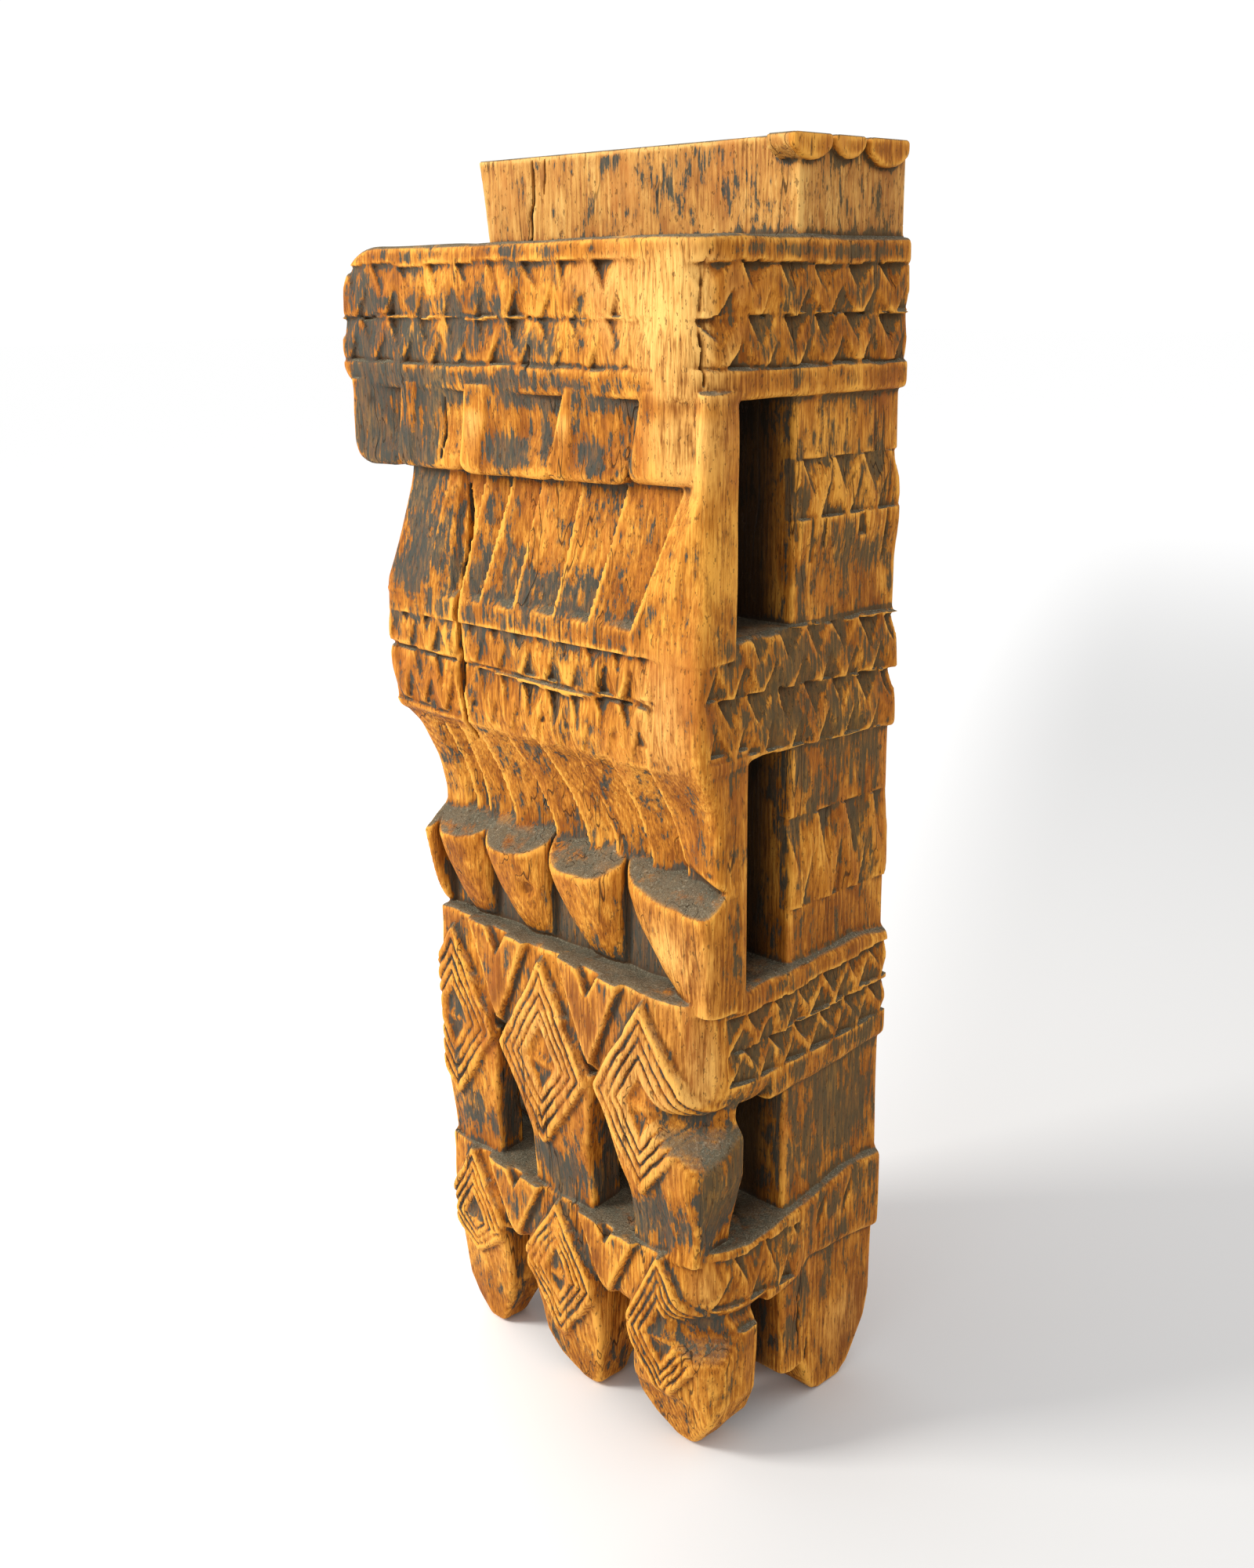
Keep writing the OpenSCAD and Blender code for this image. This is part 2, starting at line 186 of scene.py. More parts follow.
def lozenge(x, z, middle, top, bottom, left, right):
    """Depth of a raised lozenge with incised lines and a sunk middle: zero on its face."""
    cx, cz = middle
    half_w = np.where(x < cx, cx - left, right - cx)
    half_h = np.where(z < cz, cz - bottom, top - cz)
    scale = half_w * half_h / np.hypot(half_w, half_h)
    inside = (1 - np.abs(x - cx) / half_w - np.abs(z - cz) / half_h) * scale
    inside = inside + wobble(int(cx) % 97, x, z, 1.3) + 0.3 * noise(int(cx) % 83, (9, 9), x, z)
    spacing = 0.165 * (right - left) * 0.42
    line_half_w, line_depth = 2.0, 3.4
    fade = np.clip(0.8 + 0.5 * noise(int(cx) % 89, (19, 30), x, z), 0.1, 1)
    depth = 0
    for i in range(1, 4):
        depth = depth + groove(inside - spacing * i, line_half_w, line_depth) * fade
    ridge = 0.45 + 0.55 * np.clip(np.abs(z - cz) / 7, 0, 1)
    pit = np.clip((inside - spacing * 3.75) * 0.7, 0, 4.0) * ridge
    return inside, depth + pit


# Lozenges: middle in x and z, top, bottom, left, right
UPPER_LOZENGES = [
    ((-109, 298), 384, 224, -168, -54),
    ((10, 297), 388, 221, -48, 68),
    ((132, 303), 389, 226, 76, 190),
]
LOWER_LOZENGES = [
    ((-93, 108), 180, 72, -140, -46),
    ((22, 105), 176, 41, -25, 70),
    ((145, 104), 180, 40, 104, 192),
]
CHANNEL = 6.5   # how far the channels lie behind the lozenges

# Raised Vs between the lozenges: their middles, and their drop below the top of the band
UPPER_VEES, UPPER_DROP = (-47, 71), 86
LOWER_VEES, LOWER_DROP = (-34, 84), 76


def vees(x, z, top, middles, drop):
    """1 on the raised Vs between lozenges, 0 in the channels round them."""
    width = 41
    total = 0
    for cx in middles:
        outer = (width * (1 - (top - z) / drop) - np.abs(x - cx)) * 0.8
        inner = (width - 26 - np.abs(x - cx)) - (top - z) * 0.62
        on = np.clip(outer / 2.5 + 0.5, 0, 1) * np.clip(0.5 - inner / 2.5, 0, 1)
        total = np.maximum(total, on)
    return total


def plan_a(x):
    """Front of the upper lozenge band in plan: it bulges towards the right corner."""
    return curve(x, [(-132, -94), (-105, -96), (-18, -102), (41, -106), (92, -112), (140, -114.5),
                     (172, -112), (186, -105), (198, -92)])


def plan_b(x):
    """Front of the lower lozenge band in plan."""
    return curve(x, [(-132, -92), (-105, -95), (-18, -101), (60, -105), (120, -110), (165, -109),
                     (185, -101), (198, -90)])


def lozenge_band(x, z, plan, lozenges, vee_middles, top, drop):
    """Front surface of a band: lozenges and Vs stand proud of the channels between them."""
    proud, cut = 0, 0
    for one in lozenges:
        inside, depth = lozenge(x, z, *one)
        on = np.clip(inside / 3 + 0.5, 0, 1)
        proud = np.maximum(proud, on)
        cut = cut + depth * (inside > 0)
    proud = np.maximum(proud, vees(x, z, top, vee_middles, drop))
    return plan(x) + CHANNEL * (1 - proud) + cut + 0.7 * noise(31, (17, 60), x, z)


# ---------------------------------------------------------------- surfaces of the members

def crown_front(x, z):
    """Two worn rows of triangles above a plain strip. They die out before the smooth right corner."""
    rows = np.clip((right_x - 58 - x) / 34, 0, 1) * np.clip(0.8 + 0.4 * noise(3, (34, 40), x, z), 0.4, 1)
    s = x + wobble(4, x, z, 3.0)
    upper_t = z - 883 + wobble(5, x, z, 1.2)
    lower_t = z - 850 + wobble(7, x, z, 1.0)
    upper_h, lower_h = 38, 32
    upper = row(s + 17, upper_t, 35, upper_h, 6.5, 0.36, 0.38, 1.1)
    lower = row(s + 1, lower_t, 34, lower_h, 6.5, 0.32, 0.40)
    lines = np.clip((right_x - 40 - x) / 16, 0, 1)
    worn = lines * np.clip(0.65 + 0.6 * noise(8, (28, 1), x, 0 * x), 0.1, 1)
    depth = rows * (upper + lower) + worn * (groove(upper_t, 2.4, 2.2) + groove(lower_t, 2.2, 2.4))
    lean = lines * (shingle(upper_t, upper_h, 1.0) + shingle(lower_t, lower_h, 1.6))
    under = 2.2 * smooth((845 - z) / 16) * lines
    swell = 1.0 * noise(9, (23, 70), x, z) + 1.1 * noise(10, (55, 24), x, z)
    return front_y + 2.4 + depth + lean + under + swell


def crown_side(y, z):
    """How far the right side of the crown is cut back from its outer plane."""
    rows = ramp(y, front_y + 8, front_y + 20)
    s = y + wobble(11, y, z, 2.0)
    upper_t = z - 884 + wobble(12, y, z, 1.1)
    lower_t = z - 850 + wobble(13, y, z, 1.1)
    height = 33
    upper = row(s + 2, upper_t, 37, height, 8.5, 0.40, 0.36, 1.2)
    lower = row(s - 2, lower_t, 35.5, height, 8.5, 0.38, 0.36, 1.1)
    lean = shingle(upper_t, height, 1.2) + shingle(lower_t, height, 3.2)
    lines = groove(lower_t, 1.8, 2.6) + groove(upper_t - height, 1.6, 1.0)
    knot = np.hypot(y - front_y - 19, (z - 893) * 0.7)
    depth = rows * (upper + lower + lean + lines)
    return depth + 2.5 * np.exp(-(knot / 7) ** 2) + 0.5 + 0.5 * noise(14, (20, 60), y, z)


def crown(x, y, z):
    left = left_x + 0.6 + 0.6 * noise(15, (30, 30), y, z) - x
    top = z - (crown_top - 1.0 - 0.9 * noise(16, (40, 40), x, y))
    bottom = crown_z + 0.3 + 0.6 * noise(17, (30, 30), x, y) - z
    front = crown_front(x, z) - y
    right = x - (right_x - crown_side(y, z))
    back = y - (back_y - 0.8 - 0.7 * noise(18, (60, 60), x, z))
    ends = meet(20, meet(56, left, top), bottom)
    corner = meet(50, front, right)
    return meet(5, ends, corner, back)


def shaft(x, y, z):
    left_at = np.interp(z, [crown_top, 980, top_z], [post_left + 1, -139, -142.5])
    left = left_at + 0.5 * noise(20, (30, 60), y, z) - x
    right = x - (post_right - 1 + 0.8 * noise(21, (30, 60), y, z) - 1.0)
    front = post_front + 0.8 + 0.5 * noise(22, (12, 90), x, z) - y
    back = y - (back_y - 1 - 0.7 * noise(23, (60, 60), x, z))
    body = meet(3.5, left, right, front, back)
    teeth = right_teeth(x, y, z)
    return np.maximum(np.minimum(body, teeth), z - top_z)


def right_teeth(x, y, z):
    """Rounded lower ends of the next carved row."""
    total = FAR
    for low, high, bottom in ((-22, 20, 983), (23, 57, 985), (61, 107, 981)):
        mid, half = (low + high) / 2, (high - low) / 2
        drop = bottom + 9 * (np.abs(y - mid) / half) ** 2.2
        tooth = meet(3, drop - z, np.abs(y - mid) - half, x - right_x + 0.5)
        total = np.minimum(total, tooth)
    return np.maximum(total, post_right - 20 - x)


# How far each edge of the tabs leans to the right, per mm of height
TAB_LEANS = (0.16, 0.16, 0.18, 0.34, 0.26, 0.10)


def tab_lines(z):
    """Places of the leaning edges of the tabs."""
    return [edge + lean * (z - tab_z) for edge, lean in zip(tab_edges, TAB_LEANS)]


def tab_front(x, z):
    """Each tab is proud at its leaning left edge and falls back to the right, most near its top."""
    up = np.clip((z - tab_z) / (crown_z - tab_z), 0, 1)
    edges = tab_lines(z)
    depth = FAR + 0 * x * z
    for i, (x0, x1) in enumerate(zip(edges, edges[1:])):
        across = np.clip((x - x0) / (x1 - x0), 0, 1)
        strip = 1 - ramp(across, 0.22, 0.27)
        fall = 12.5 * across ** 1.2 * mix(0.28, 1.0, smooth(1.6 * up)) * (1.0, 0.8, 1.0, 1.0, 0.25)[i]
        face = 2.6 + fall - 1.3 * strip * (i in (1, 2, 3)) + 2.6 * smooth(1 - 5 * up) ** 2
        depth = np.where((x >= x0) & (x < x1), face, depth)
    depth = np.where(x <= edges[0], 2.6, depth)
    depth = np.where(x >= edges[-1], 5.0, depth)
    corner = 14 * ramp(x, 150, right_x + 6)
    return front_y + depth + corner + 0.9 * noise(25, (18, 45), x, z) + 0.8 * noise(27, (30, 18), x, z)


def tabs(x, y, z):
    total = FAR
    face = tab_front(x, z) - y
    edges = tab_lines(z)
    for i, (x0, x1) in enumerate(zip(edges, edges[1:])):
        bottom = tab_z + (0.5, 2.0, 1.5, 2.8, 4.0)[i] + 0.8 * noise(26, (30, 20), x, y) - z
        left = (x0 if i else tab_edges[0]) - x
        right = x - (x1 - 0.3)
        if i == 4:
            right = x - (right_x - 4.5 - 0.5 * noise(24, (20, 50), y, z))
        outline = meet(12, meet(12 if i else 22, left, bottom), right)
        total = np.minimum(total, meet(4 if i < 4 else 12, outline, face))
    return np.maximum(total, y - (upper_face + 3))


def panel_left_edge(z):
    """Left outline of the front: it flares out to the middle band."""
    return curve(z, [(380, -131), (467, -131), (520, -130), (561, -134), (577, -149), (620, -153.5),
                     (624, -150), (656, -150), (680, -151), (709, -144), (766, -133), (830, -133)])


# Ridges of the pleats: place across the front at their tops and at their lower ends
UPPER_RIDGES = [(-82, -100), (-42, -60), (-11, -36), (21, 3), (64, 47), (109, 84), (163, 128)]
LOWER_RIDGES = [(-118, -100), (-97, -88), (-76, -72), (-56, -38), (-20, 11), (18, 48), (59, 78),
                (98, 115), (140, 152)]


def pleats(x, t, ridges, depth, bend=1.0):
    """Depth of pleats whose ridges run from the first place (t = 0) to the second (t = 1). Each is proud
    at its left edge and falls back to the right; returns the depth and the place of the last ridge."""
    places = [mix(top, low, t ** bend) for top, low in ridges]
    total = 0 * x * t
    for start, end in zip(places, places[1:]):
        across = (x - start) / (end - start)
        on = (across >= 0) & (across < 1)
        fall = np.clip(across * 1.15, 0, 1)
        fall = fall - 0.25 * fall * (1 - np.clip(across, 0, 1))
        total = np.where(on, depth * fall, total)
    return total, places[-1]


def left_of_crack(x):
    """1 on the part left of the long front crack, which stands a little proud."""
    return ramp(-x, 66, 74)


def upper_flute_front(x, z):
    t = np.clip((mid_top + 102 - z) / 100, 0, 1)
    base = curve(z, [(660, -114), (676, -113.2), (698, -108.5), (768, -95), (835, -95)])
    fade = ramp(z, mid_top + 4, mid_top + 14)
    fall, last = pleats(x, t, UPPER_RIDGES, 7.5)
    first = mix(UPPER_RIDGES[0][0], UPPER_RIDGES[0][1], t)
    plain = (x < first) * (2.0 + 1.5 * noise(40, (20, 120), x, z))
    depth = fall * fade + plain * fade - 3.0 * left_of_crack(x) * fade
    corner = mix(-108, -113.6, ramp(x, last, last + 30)) + 1.6 * np.cos((z - 690) / 26)
    smooth_strip = mix(base - 1.5, corner, ramp(x, last, last + 26))
    face = mix(base + depth, smooth_strip, ramp(x, last - 1.2, last + 1.2))
    face = face + 11 * ramp(x, 158, right_x + 4) * ramp(z, 668, 740)
    return face + 0.5 * noise(41, (15, 70), x, z)


def upper_slab(x, y, z):
    left = panel_left_edge(z) + 1.2 * noise(42, (25, 25), y, z) - x
    right = x - (right_x - 1.0 - 0.8 * noise(43, (16, 50), y, z))
    front = upper_flute_front(x, z) - y
    back_step = np.interp(z, [mid_top, 736, 800], [-1, 1, 1])
    back = y - (upper_back + back_step + 0.8 * noise(44, (30, 50), x, z))
    body = meet(8, meet(12, front, right), left, back)
    return np.maximum(body, np.maximum(mid_top - 12 - z, z - crown_z - 6))


def row_lines(x):
    """Levels of the three grooves on the front of the middle band."""
    top = np.interp(x, [-150, -62, 152, 200], [668, 666, 657, 657])
    middle = np.interp(x, [-150, -62, 152, 200], [626, 623, 618, 618])
    low = np.interp(x, [-150, -62, 60, 152, 200], [582, 576, 568, 578, 578])
    return top, middle, low


def mid_front(x, z):
    top, middle, low = row_lines(x)
    rows = 1 - ramp(x, 140, 156)
    s = x + wobble(50, x, z, 2.0)
    upper_t, lower_t = z - middle - 2, z - low - 2
    upper_h, lower_h = 40, 44
    upper = chip_row(s + 5, upper_t, 27, upper_h, 7.5, 0.38, 0.38) * (upper_t > 0) * (z < top - 1)
    lower = chip_row(s - 7, lower_t, 26, lower_h, 7.5, 0.38, 0.38) * (lower_t > 0) * (z < middle - 1)
    wear = np.clip(0.8 + 0.4 * noise(51, (35, 25), x, z), 0.35, 1)
    base = curve(z, [(560, -106), (572, -109), (584, -112), (600, -114), (640, -114.4), (668, -113.4),
                     (680, -112)])
    lines = 0
    for level in (top, middle, low):
        lines = lines + groove(z - level, 2.6, 3.8)
    lean = shingle(upper_t, upper_h, 1.6) + shingle(lower_t, lower_h, 2.2)
    depth = rows * ((upper + lower) * wear + lines + lean)
    depth = depth - 1.5 * left_of_crack(x)
    return base + depth + 1.0 + 0.8 * noise(52, (15, 50), x, z)


def side_rows_mid(y, z):
    """Cut of the two deep rows on the right side of the middle band."""
    back = np.clip((y - front_y) / (back_y - front_y), 0, 1)
    middle, low = mix(629, 620, back), mix(585, 574, back)
    s = y + wobble(53, y, z, 2.0)
    sway = wobble(58, y, z, 1.4)
    upper_t, lower_t = z - middle + sway, z - low + sway
    upper_h, lower_h = 42, 45
    upper = chip_row(s, upper_t, 31.5, upper_h, 9.5, 0.44, 0.38, 1.1) * (upper_t > 0)
    lower = chip_row(s, lower_t, 31.5, lower_h, 9.5, 0.44, 0.38, 1.1) * (lower_t > 0) * (upper_t <= 0)
    lean = shingle(upper_t, upper_h, 2.0) + shingle(lower_t, lower_h, 3.6) * (upper_t <= 0)
    ends = ramp(y, front_y + 6, front_y + 18)
    return (upper + lower + lean) * ends + 0.8 + 0.8 * noise(54, (14, 40), y, z)


def mid_band(x, y, z):
    left = panel_left_edge(z) + 1.0 * noise(55, (14, 22), y, z) - x
    right = x - (right_x - side_rows_mid(y, z))
    front = mid_front(x, z) - y
    back = y - 20
    rim = np.interp(x, [150, right_x], [0, 1])
    bottom = mid_z - 8 + 6 * ramp(y, -90, -40) + rim * 2 + 1.2 * noise(56, (30, 30), x, y) - z
    top = z - (mid_top + 6 - 6 * ramp(y, -95, -70) + 1.0 * noise(57, (30, 30), x, y))
    return meet(4, meet(6, meet(12, front, right), left), back, meet(5, top, bottom))


def lower_corner_front(z):
    """Front edge of the smooth right strip of the lower panel."""
    return curve(z, [(392, -101), (408, -100), (455, -92), (525, -92), (560, -97), (586, -104)])


def lower_flute_front(x, z):
    t = np.clip((mid_z - 6 - z) / 92, 0, 1)
    base = curve(z, [(480, -78), (500, -79), (530, -87), (556, -99), (572, -107), (590, -110)])
    fade = ramp(-z, -mid_z + 6, -mid_z + 20)
    fall, last = pleats(x, t, LOWER_RIDGES, 7.0, 0.8)
    last = last + 34 * ramp(-z, -500, -478)
    corner = lower_corner_front(z)
    depth = fall * fade
    strip = mix(base - 2, corner, ramp(x, last, last + 30))
    face = mix(base + depth, np.minimum(strip, base - 1), ramp(x, last - 1.2, last + 1.2))
    return face + 0.5 * noise(60, (14, 70), x, z)


BEHIND_CUPS = -76.0   # plane of the panel where the cups cover it


def lower_slab(x, y, z):
    left = panel_left_edge(z) + 1.0 * noise(61, (25, 25), y, z) - x
    right = x - (right_x - 1.2 - 0.9 * noise(62, (16, 50), y, z))
    front = np.where(z > cup_top + 12, lower_flute_front(x, z), BEHIND_CUPS) - y
    back = y - (lower_back + 0.8 * noise(63, (30, 50), x, z))
    body = meet(8, meet(10, front, right), left, back)
    return np.maximum(body, np.maximum(cup_z - 12 - z, z - mid_z - 8))


# Cups in the row below the lower flutes: left and right edge
CUPS = [(-140, -124), (-127, -67), (-70, 5), (6, 86), (88, right_x - 2)]


def cup_rim(x, x0, x1, t, last=False):
    """Front of a cup at height t (0 low, 1 top): round in plan, swept to the lower right. The last one
    runs out into the smooth right corner."""
    width = x1 - x0
    low_left = x0 + 0.5 * width * (1 - t) ** 1.5
    if last:
        u = np.clip((x1 - x) / (x1 - low_left), 0, 1)
        return -70 - mix(29, 33, t) * (1 - u ** 3.2) ** 0.5
    reach = mix(9, 32, t ** 0.62)
    middle = mix(x0 + 0.46 * width, x1 - 0.24 * width, (1 - t) ** 1.3)
    half = np.where(x < middle, middle - low_left, x1 + 6 - middle)
    u = np.clip(np.abs(x - middle) / half, 0, 1)
    return -70 - reach * (1 - u ** 2.4) ** 0.5


def cups(x, y, z):
    """Flat rims that rise backwards under dust, bowls that taper to the ledge."""
    t = np.clip((z - cup_z) / (cup_top - cup_z), 0, 1)
    total = FAR
    for i, (x0, x1) in enumerate(CUPS):
        last = i == len(CUPS) - 1
        front = (cup_rim(x, x0, x1, t, last) - y) * 0.8
        low_left = x0 + 0.5 * (x1 - x0) * (1 - t) ** 1.5
        one = meet(2.5, front, (low_left - x) * 0.8)
        right = x - (right_x - 1.2 - 0.9 * noise(62, (16, 50), y, z)) if last else x - x1 - 1
        total = np.minimum(total, meet(14 if last else 2.5, one, right))
    knot = np.hypot(x + 12, z - 440)
    total = total + 3.0 * np.exp(-((knot - 2) / 4.5) ** 2) * (y < -70)
    slope = 0.8 + 0.12 * noise(64, (25, 12), x, y)
    top = (z - (cup_top - 1 + slope * np.clip(y + 103, 0, 30) + 0.9 * noise(65, (12, 12), x, y))) * 0.8
    left = panel_left_edge(z) - x
    total = meet(2.5, total + 0.6 * noise(66, (10, 30), x, z), top)
    return np.maximum(np.maximum(total, left), np.maximum(y - lower_face - 2, cup_z - 10 - z))


def side_rows_a(y, z):
    """Two small rows on the right side of the upper lozenge band."""
    s = y + wobble(70, y, z, 2.2)
    back = np.clip((y + 60) / 170, 0, 1)
    upper_t = z - mix(352, 364, back) + wobble(75, y, z, 1.2)
    lower_t = z - mix(325, 330, back) + wobble(76, y, z, 1.2)
    height = 29
    upper = row(s, upper_t, 29.5, height, 8.0, 0.30, 0.45)
    lower = chip_row(s + 1, lower_t, 30, height, 8.0, 0.30, 0.45) * (lower_t > 0) * (upper_t <= 0)
    lean = shingle(lower_t, height + 1, 1.6) * (upper_t <= 0) + shingle(upper_t, height, 1.4)
    ends = ramp(y, -80, -68)
    return (upper + lower + lean) * ends + 1.0 + 1.0 * noise(71, (14, 40), y, z)


def side_a_edges(y):
    """Lower and upper edge of the upper band on the right side."""
    low = curve(y, [(-100, 300), (-45, 299), (27, 302), (69, 304), (115, 308)])
    high = curve(y, [(-100, 399), (-14, 404), (25, 407), (68, 409), (115, 404)])
    return low, high


def band_a(x, y, z):
    left = band_left - 2.5 + 1.0 * noise(72, (20, 20), y, z) - x
    right = x - (right_x - side_rows_a(y, z))
    front = lozenge_band(x, z, plan_a, UPPER_LOZENGES, UPPER_VEES, cup_z + 2, UPPER_DROP) - y
    side = ramp(x, 150, right_x)
    top = z - (cup_z - 1.5 + side * 8 * ramp(y, -95, -40) + 1.4 * noise(73, (22, 14), x, y))
    sag = np.interp(x, [-130, 120, 160, right_x], [0, 0, -2, 1])
    bottom = band_a_z + sag + 1.5 * noise(74, (26, 22), x, y) - z
    nose = meet(30, meet(44, front, right), bottom)
    return meet(3.5, nose, left, meet(10, top, right), y - 20)


def stem_sides(z, left, right):
    """Left and right edge of an upper pendant; its stem stands to the right of the lozenge's tip."""
    low = curve(z, [(180, left + 35), (226, left + 35), (262, left + 16), (300, left), (310, left)])
    high = curve(z, [(180, right - 8), (222, right - 9), (262, right - 4), (300, right + 1),
                     (310, right + 1)])
    return low, high


def corner_facet(x, y, z, edge, step, seed):
    """The slanting cut at the right front of a pendant, deeper just below the nose of the band."""
    edge_x, edge_y = edge
    depth, low, high = step
    slant = (x - edge_x) * 0.72 - (y - edge_y) * 0.69
    return slant + depth * ramp(z, low, high) + 0.8 * noise(seed, (20, 30), y, z)


def upper_pendants(x, y, z):
    """Bars that carry the lower halves of the upper lozenges down to the next band."""
    total = FAR
    for i, one in enumerate(UPPER_LOZENGES):
        left, right = one[3:]
        inside, cut = lozenge(x, z, *one)
        on = np.clip(inside / 3 + 0.5, 0, 1)
        chamfer = 5.0 * (1 - on) + 0.10 * np.clip(-inside, 0, 40)
        plan = mix(plan_a(np.clip(x, -132, 168)), plan_b(np.clip(x, -132, 168)) + 1.5, ramp(-z, -246, -192))
        face = plan + chamfer + cut * (inside > 0) + 0.6 * noise(80, (17, 60), x, z)
        low, high = stem_sides(z, left, right)
        if i == 0:
            low = band_left - 2 + 0 * z
        if i == 2:
            high = np.interp(z, [180, 205, 250, 300], [178, 182, 194, 196])
            face = plan + chamfer * np.clip((168 - x) / 20, 0.5, 1) + cut * (inside > 0)
        back = y - (pendant_back + 1.5 * noise(81, (20, 40), x, z))
        flank = 1.3 * noise(82, (12, 40), y, z)
        body = meet(5, face - y, low - x + flank, x - high + flank, back)
        if i == 2:
            body = meet(6, body, corner_facet(x, y, z, (176, -112), (26, 256, 297), 83))
        body = np.maximum(body, np.where(z > band_a_z + 4, -3 - inside, -FAR))
        total = np.minimum(total, body)
    return np.maximum(total, np.maximum(band_b_top - 14 - z, z - band_a_z - 45))


def side_rows_b(y, z):
    """Large worn chips near the nose of the lower band, and two faint notches further back."""
    s = y + wobble(90, y, z, 2.5)
    t = z - 134 + wobble(95, y, z, 1.5)
    near_nose = 1 - ramp(y, -4, 8)
    cut = row(s + 2, t, 34, 46, 9.0, 0.30, 0.44) * near_nose
    for middle in (36, 69):
        slant = np.abs(s - middle - 0.35 * (z - 178)) + 0.25 * np.abs(z - 178)
        cut = cut + 2.6 * np.clip(1.6 - slant / 3, 0, 1)
    ends = ramp(y, -90, -78)
    return cut * ends + 1.0 + 1.0 * noise(91, (14, 40), y, z)


def side_b_edges(y):
    """Lower and upper edge of the lower band on the right side."""
    low = curve(y, [(-103, 136), (-75, 120), (-60, 119), (7, 126), (20, 140), (115, 130)])
    high = curve(y, [(-100, 191), (-60, 188), (-34, 190), (14, 196), (61, 206), (114, 204)])
    return low, high


def band_b(x, y, z):
    left = band_left - 1.5 + 1.0 * noise(92, (20, 20), y, z) - x
    right = x - (right_x - side_rows_b(y, z))
    front = lozenge_band(x, z, plan_b, LOWER_LOZENGES, LOWER_VEES, band_b_top - 2, LOWER_DROP) - y
    low, high = side_b_edges(y)
    side = ramp(x, 130, right_x)
    top = z - (mix(183 + 0.09 * (y + 60), high, side) - 1 + 1.4 * noise(93, (18, 12), x, y))
    bottom = mix(band_b_z + 2.0, low, side) + 1.5 * noise(94, (26, 22), x, y) - z
    nose = meet(26, meet(40, front, right), bottom)
    return meet(3.5, nose, left, meet(8, top, right), y - 20)


# Tips on the floor: middle of the tip, left and right wall above it
LOWER_TIPS = [(-86, -127, -57), (42, -10, 64), (152, 107, 192)]


def lower_pendants(x, y, z):
    """Lozenges that end in blunt worn wedges on the floor."""
    total = FAR
    for i, one in enumerate(LOWER_LOZENGES):
        left = one[3]
        inside, cut = lozenge(x, z, *one)
        on = np.clip(inside / 3 + 0.5, 0, 1)
        chamfer = 5.0 * (1 - on) + 0.16 * np.clip(-inside, 0, 60)
        setback = 2.5 * ramp(-z, -band_b_z, 30 - band_b_z)
        face = plan_b(np.clip(x, -132, 170)) + setback + chamfer + cut * (inside > 0)
        face = face + 0.6 * noise(100, (17, 60), x, z)
        tip, wall, far_wall = LOWER_TIPS[i]
        low = np.interp(z, [0, 6, 18, 34, 56, 84, 120],
                        [tip - 7, tip - 13, mix(tip - 13, wall, 0.55), wall + 3, wall, left + 5, left + 3])
        high = np.interp(z, [0, 6, 30, 52, 120],
                         [tip + 7, tip + 12, mix(tip + 12, far_wall, 0.7), far_wall, far_wall + 3])
        if i == 0:
            low = np.maximum(low, band_left + 4)
        if i == 2:
            high = np.minimum(high + 2, right_x - 0.5)
        tip_face = np.interp(z, [0, 46, 70], [-84, -97, -120]) - y
        tip_back = y - (lower_body_back + np.interp(z, [0, 30, 90], [-4, 2, 4]))
        flank = 1.2 * noise(102, (12, 30), y, z)
        body = meet(5, face - y, (low - x) * 0.85 + flank, (x - high) * 0.85 + flank, tip_back)
        if i == 2:
            body = meet(6, body, corner_facet(x, y, z, (172, -108), (17, 80, 117), 103))
        body = np.maximum(body, np.where(z > band_b_z + 4, -3 - inside, -FAR))
        total = np.minimum(total, meet(6, body, tip_face * 0.9, 0.4 - z))
    return np.maximum(total, z - band_b_z - 45)


# Low reliefs on the side of the post: from and to in z, first low chip, pitch, depth of the chips
RELIEF_HEIGHT = 3.6
UPPER_RELIEF = (743, 785, -2, 34, 7.0)
LOWER_RELIEF = (448, 521, 21, 34, 6.5)
# Pits below the upper one: from and to in y, from and to in z
RELIEF_PITS = [(9, 11, 712, 743), (22, 24.5, 722, 745), (65, 74, 726, 742), (98, 100.5, 706, 742)]


def zigzag_relief(y, z):
    """Height of the two low reliefs on the right side of the post."""
    s = y + wobble(111, y, z, 1.2)
    total = 0
    for low, high, first, pitch, cut in UPPER_RELIEF, LOWER_RELIEF:
        t = z - low
        on = ramp(y, -22, -2) * (t > 0) * (t < high - low)
        chips = chip_row(s - first, t, pitch, high - low, cut, 0.34, 0.40)
        total = total + on * (RELIEF_HEIGHT - shingle(t, high - low, 1.5) - chips)
    below = (z > 703) & (z <= UPPER_RELIEF[0]) & (y > -4)
    columns = RELIEF_HEIGHT * ramp(z, 700, 738) * below
    for y0, y1, z0, z1 in RELIEF_PITS:
        inside = np.minimum(np.minimum(s - y0, y1 - s), np.minimum(z - z0, z1 - z))
        columns = columns - RELIEF_HEIGHT * np.clip(inside / 3 + 0.4, 0, 1) * below
    return total + columns


def post_side(y, z):
    """Right face of the post, with the low reliefs beside the slots."""
    return post_right - 1.2 + 0.8 * noise(110, (24, 70), y, z) + zigzag_relief(y, z)


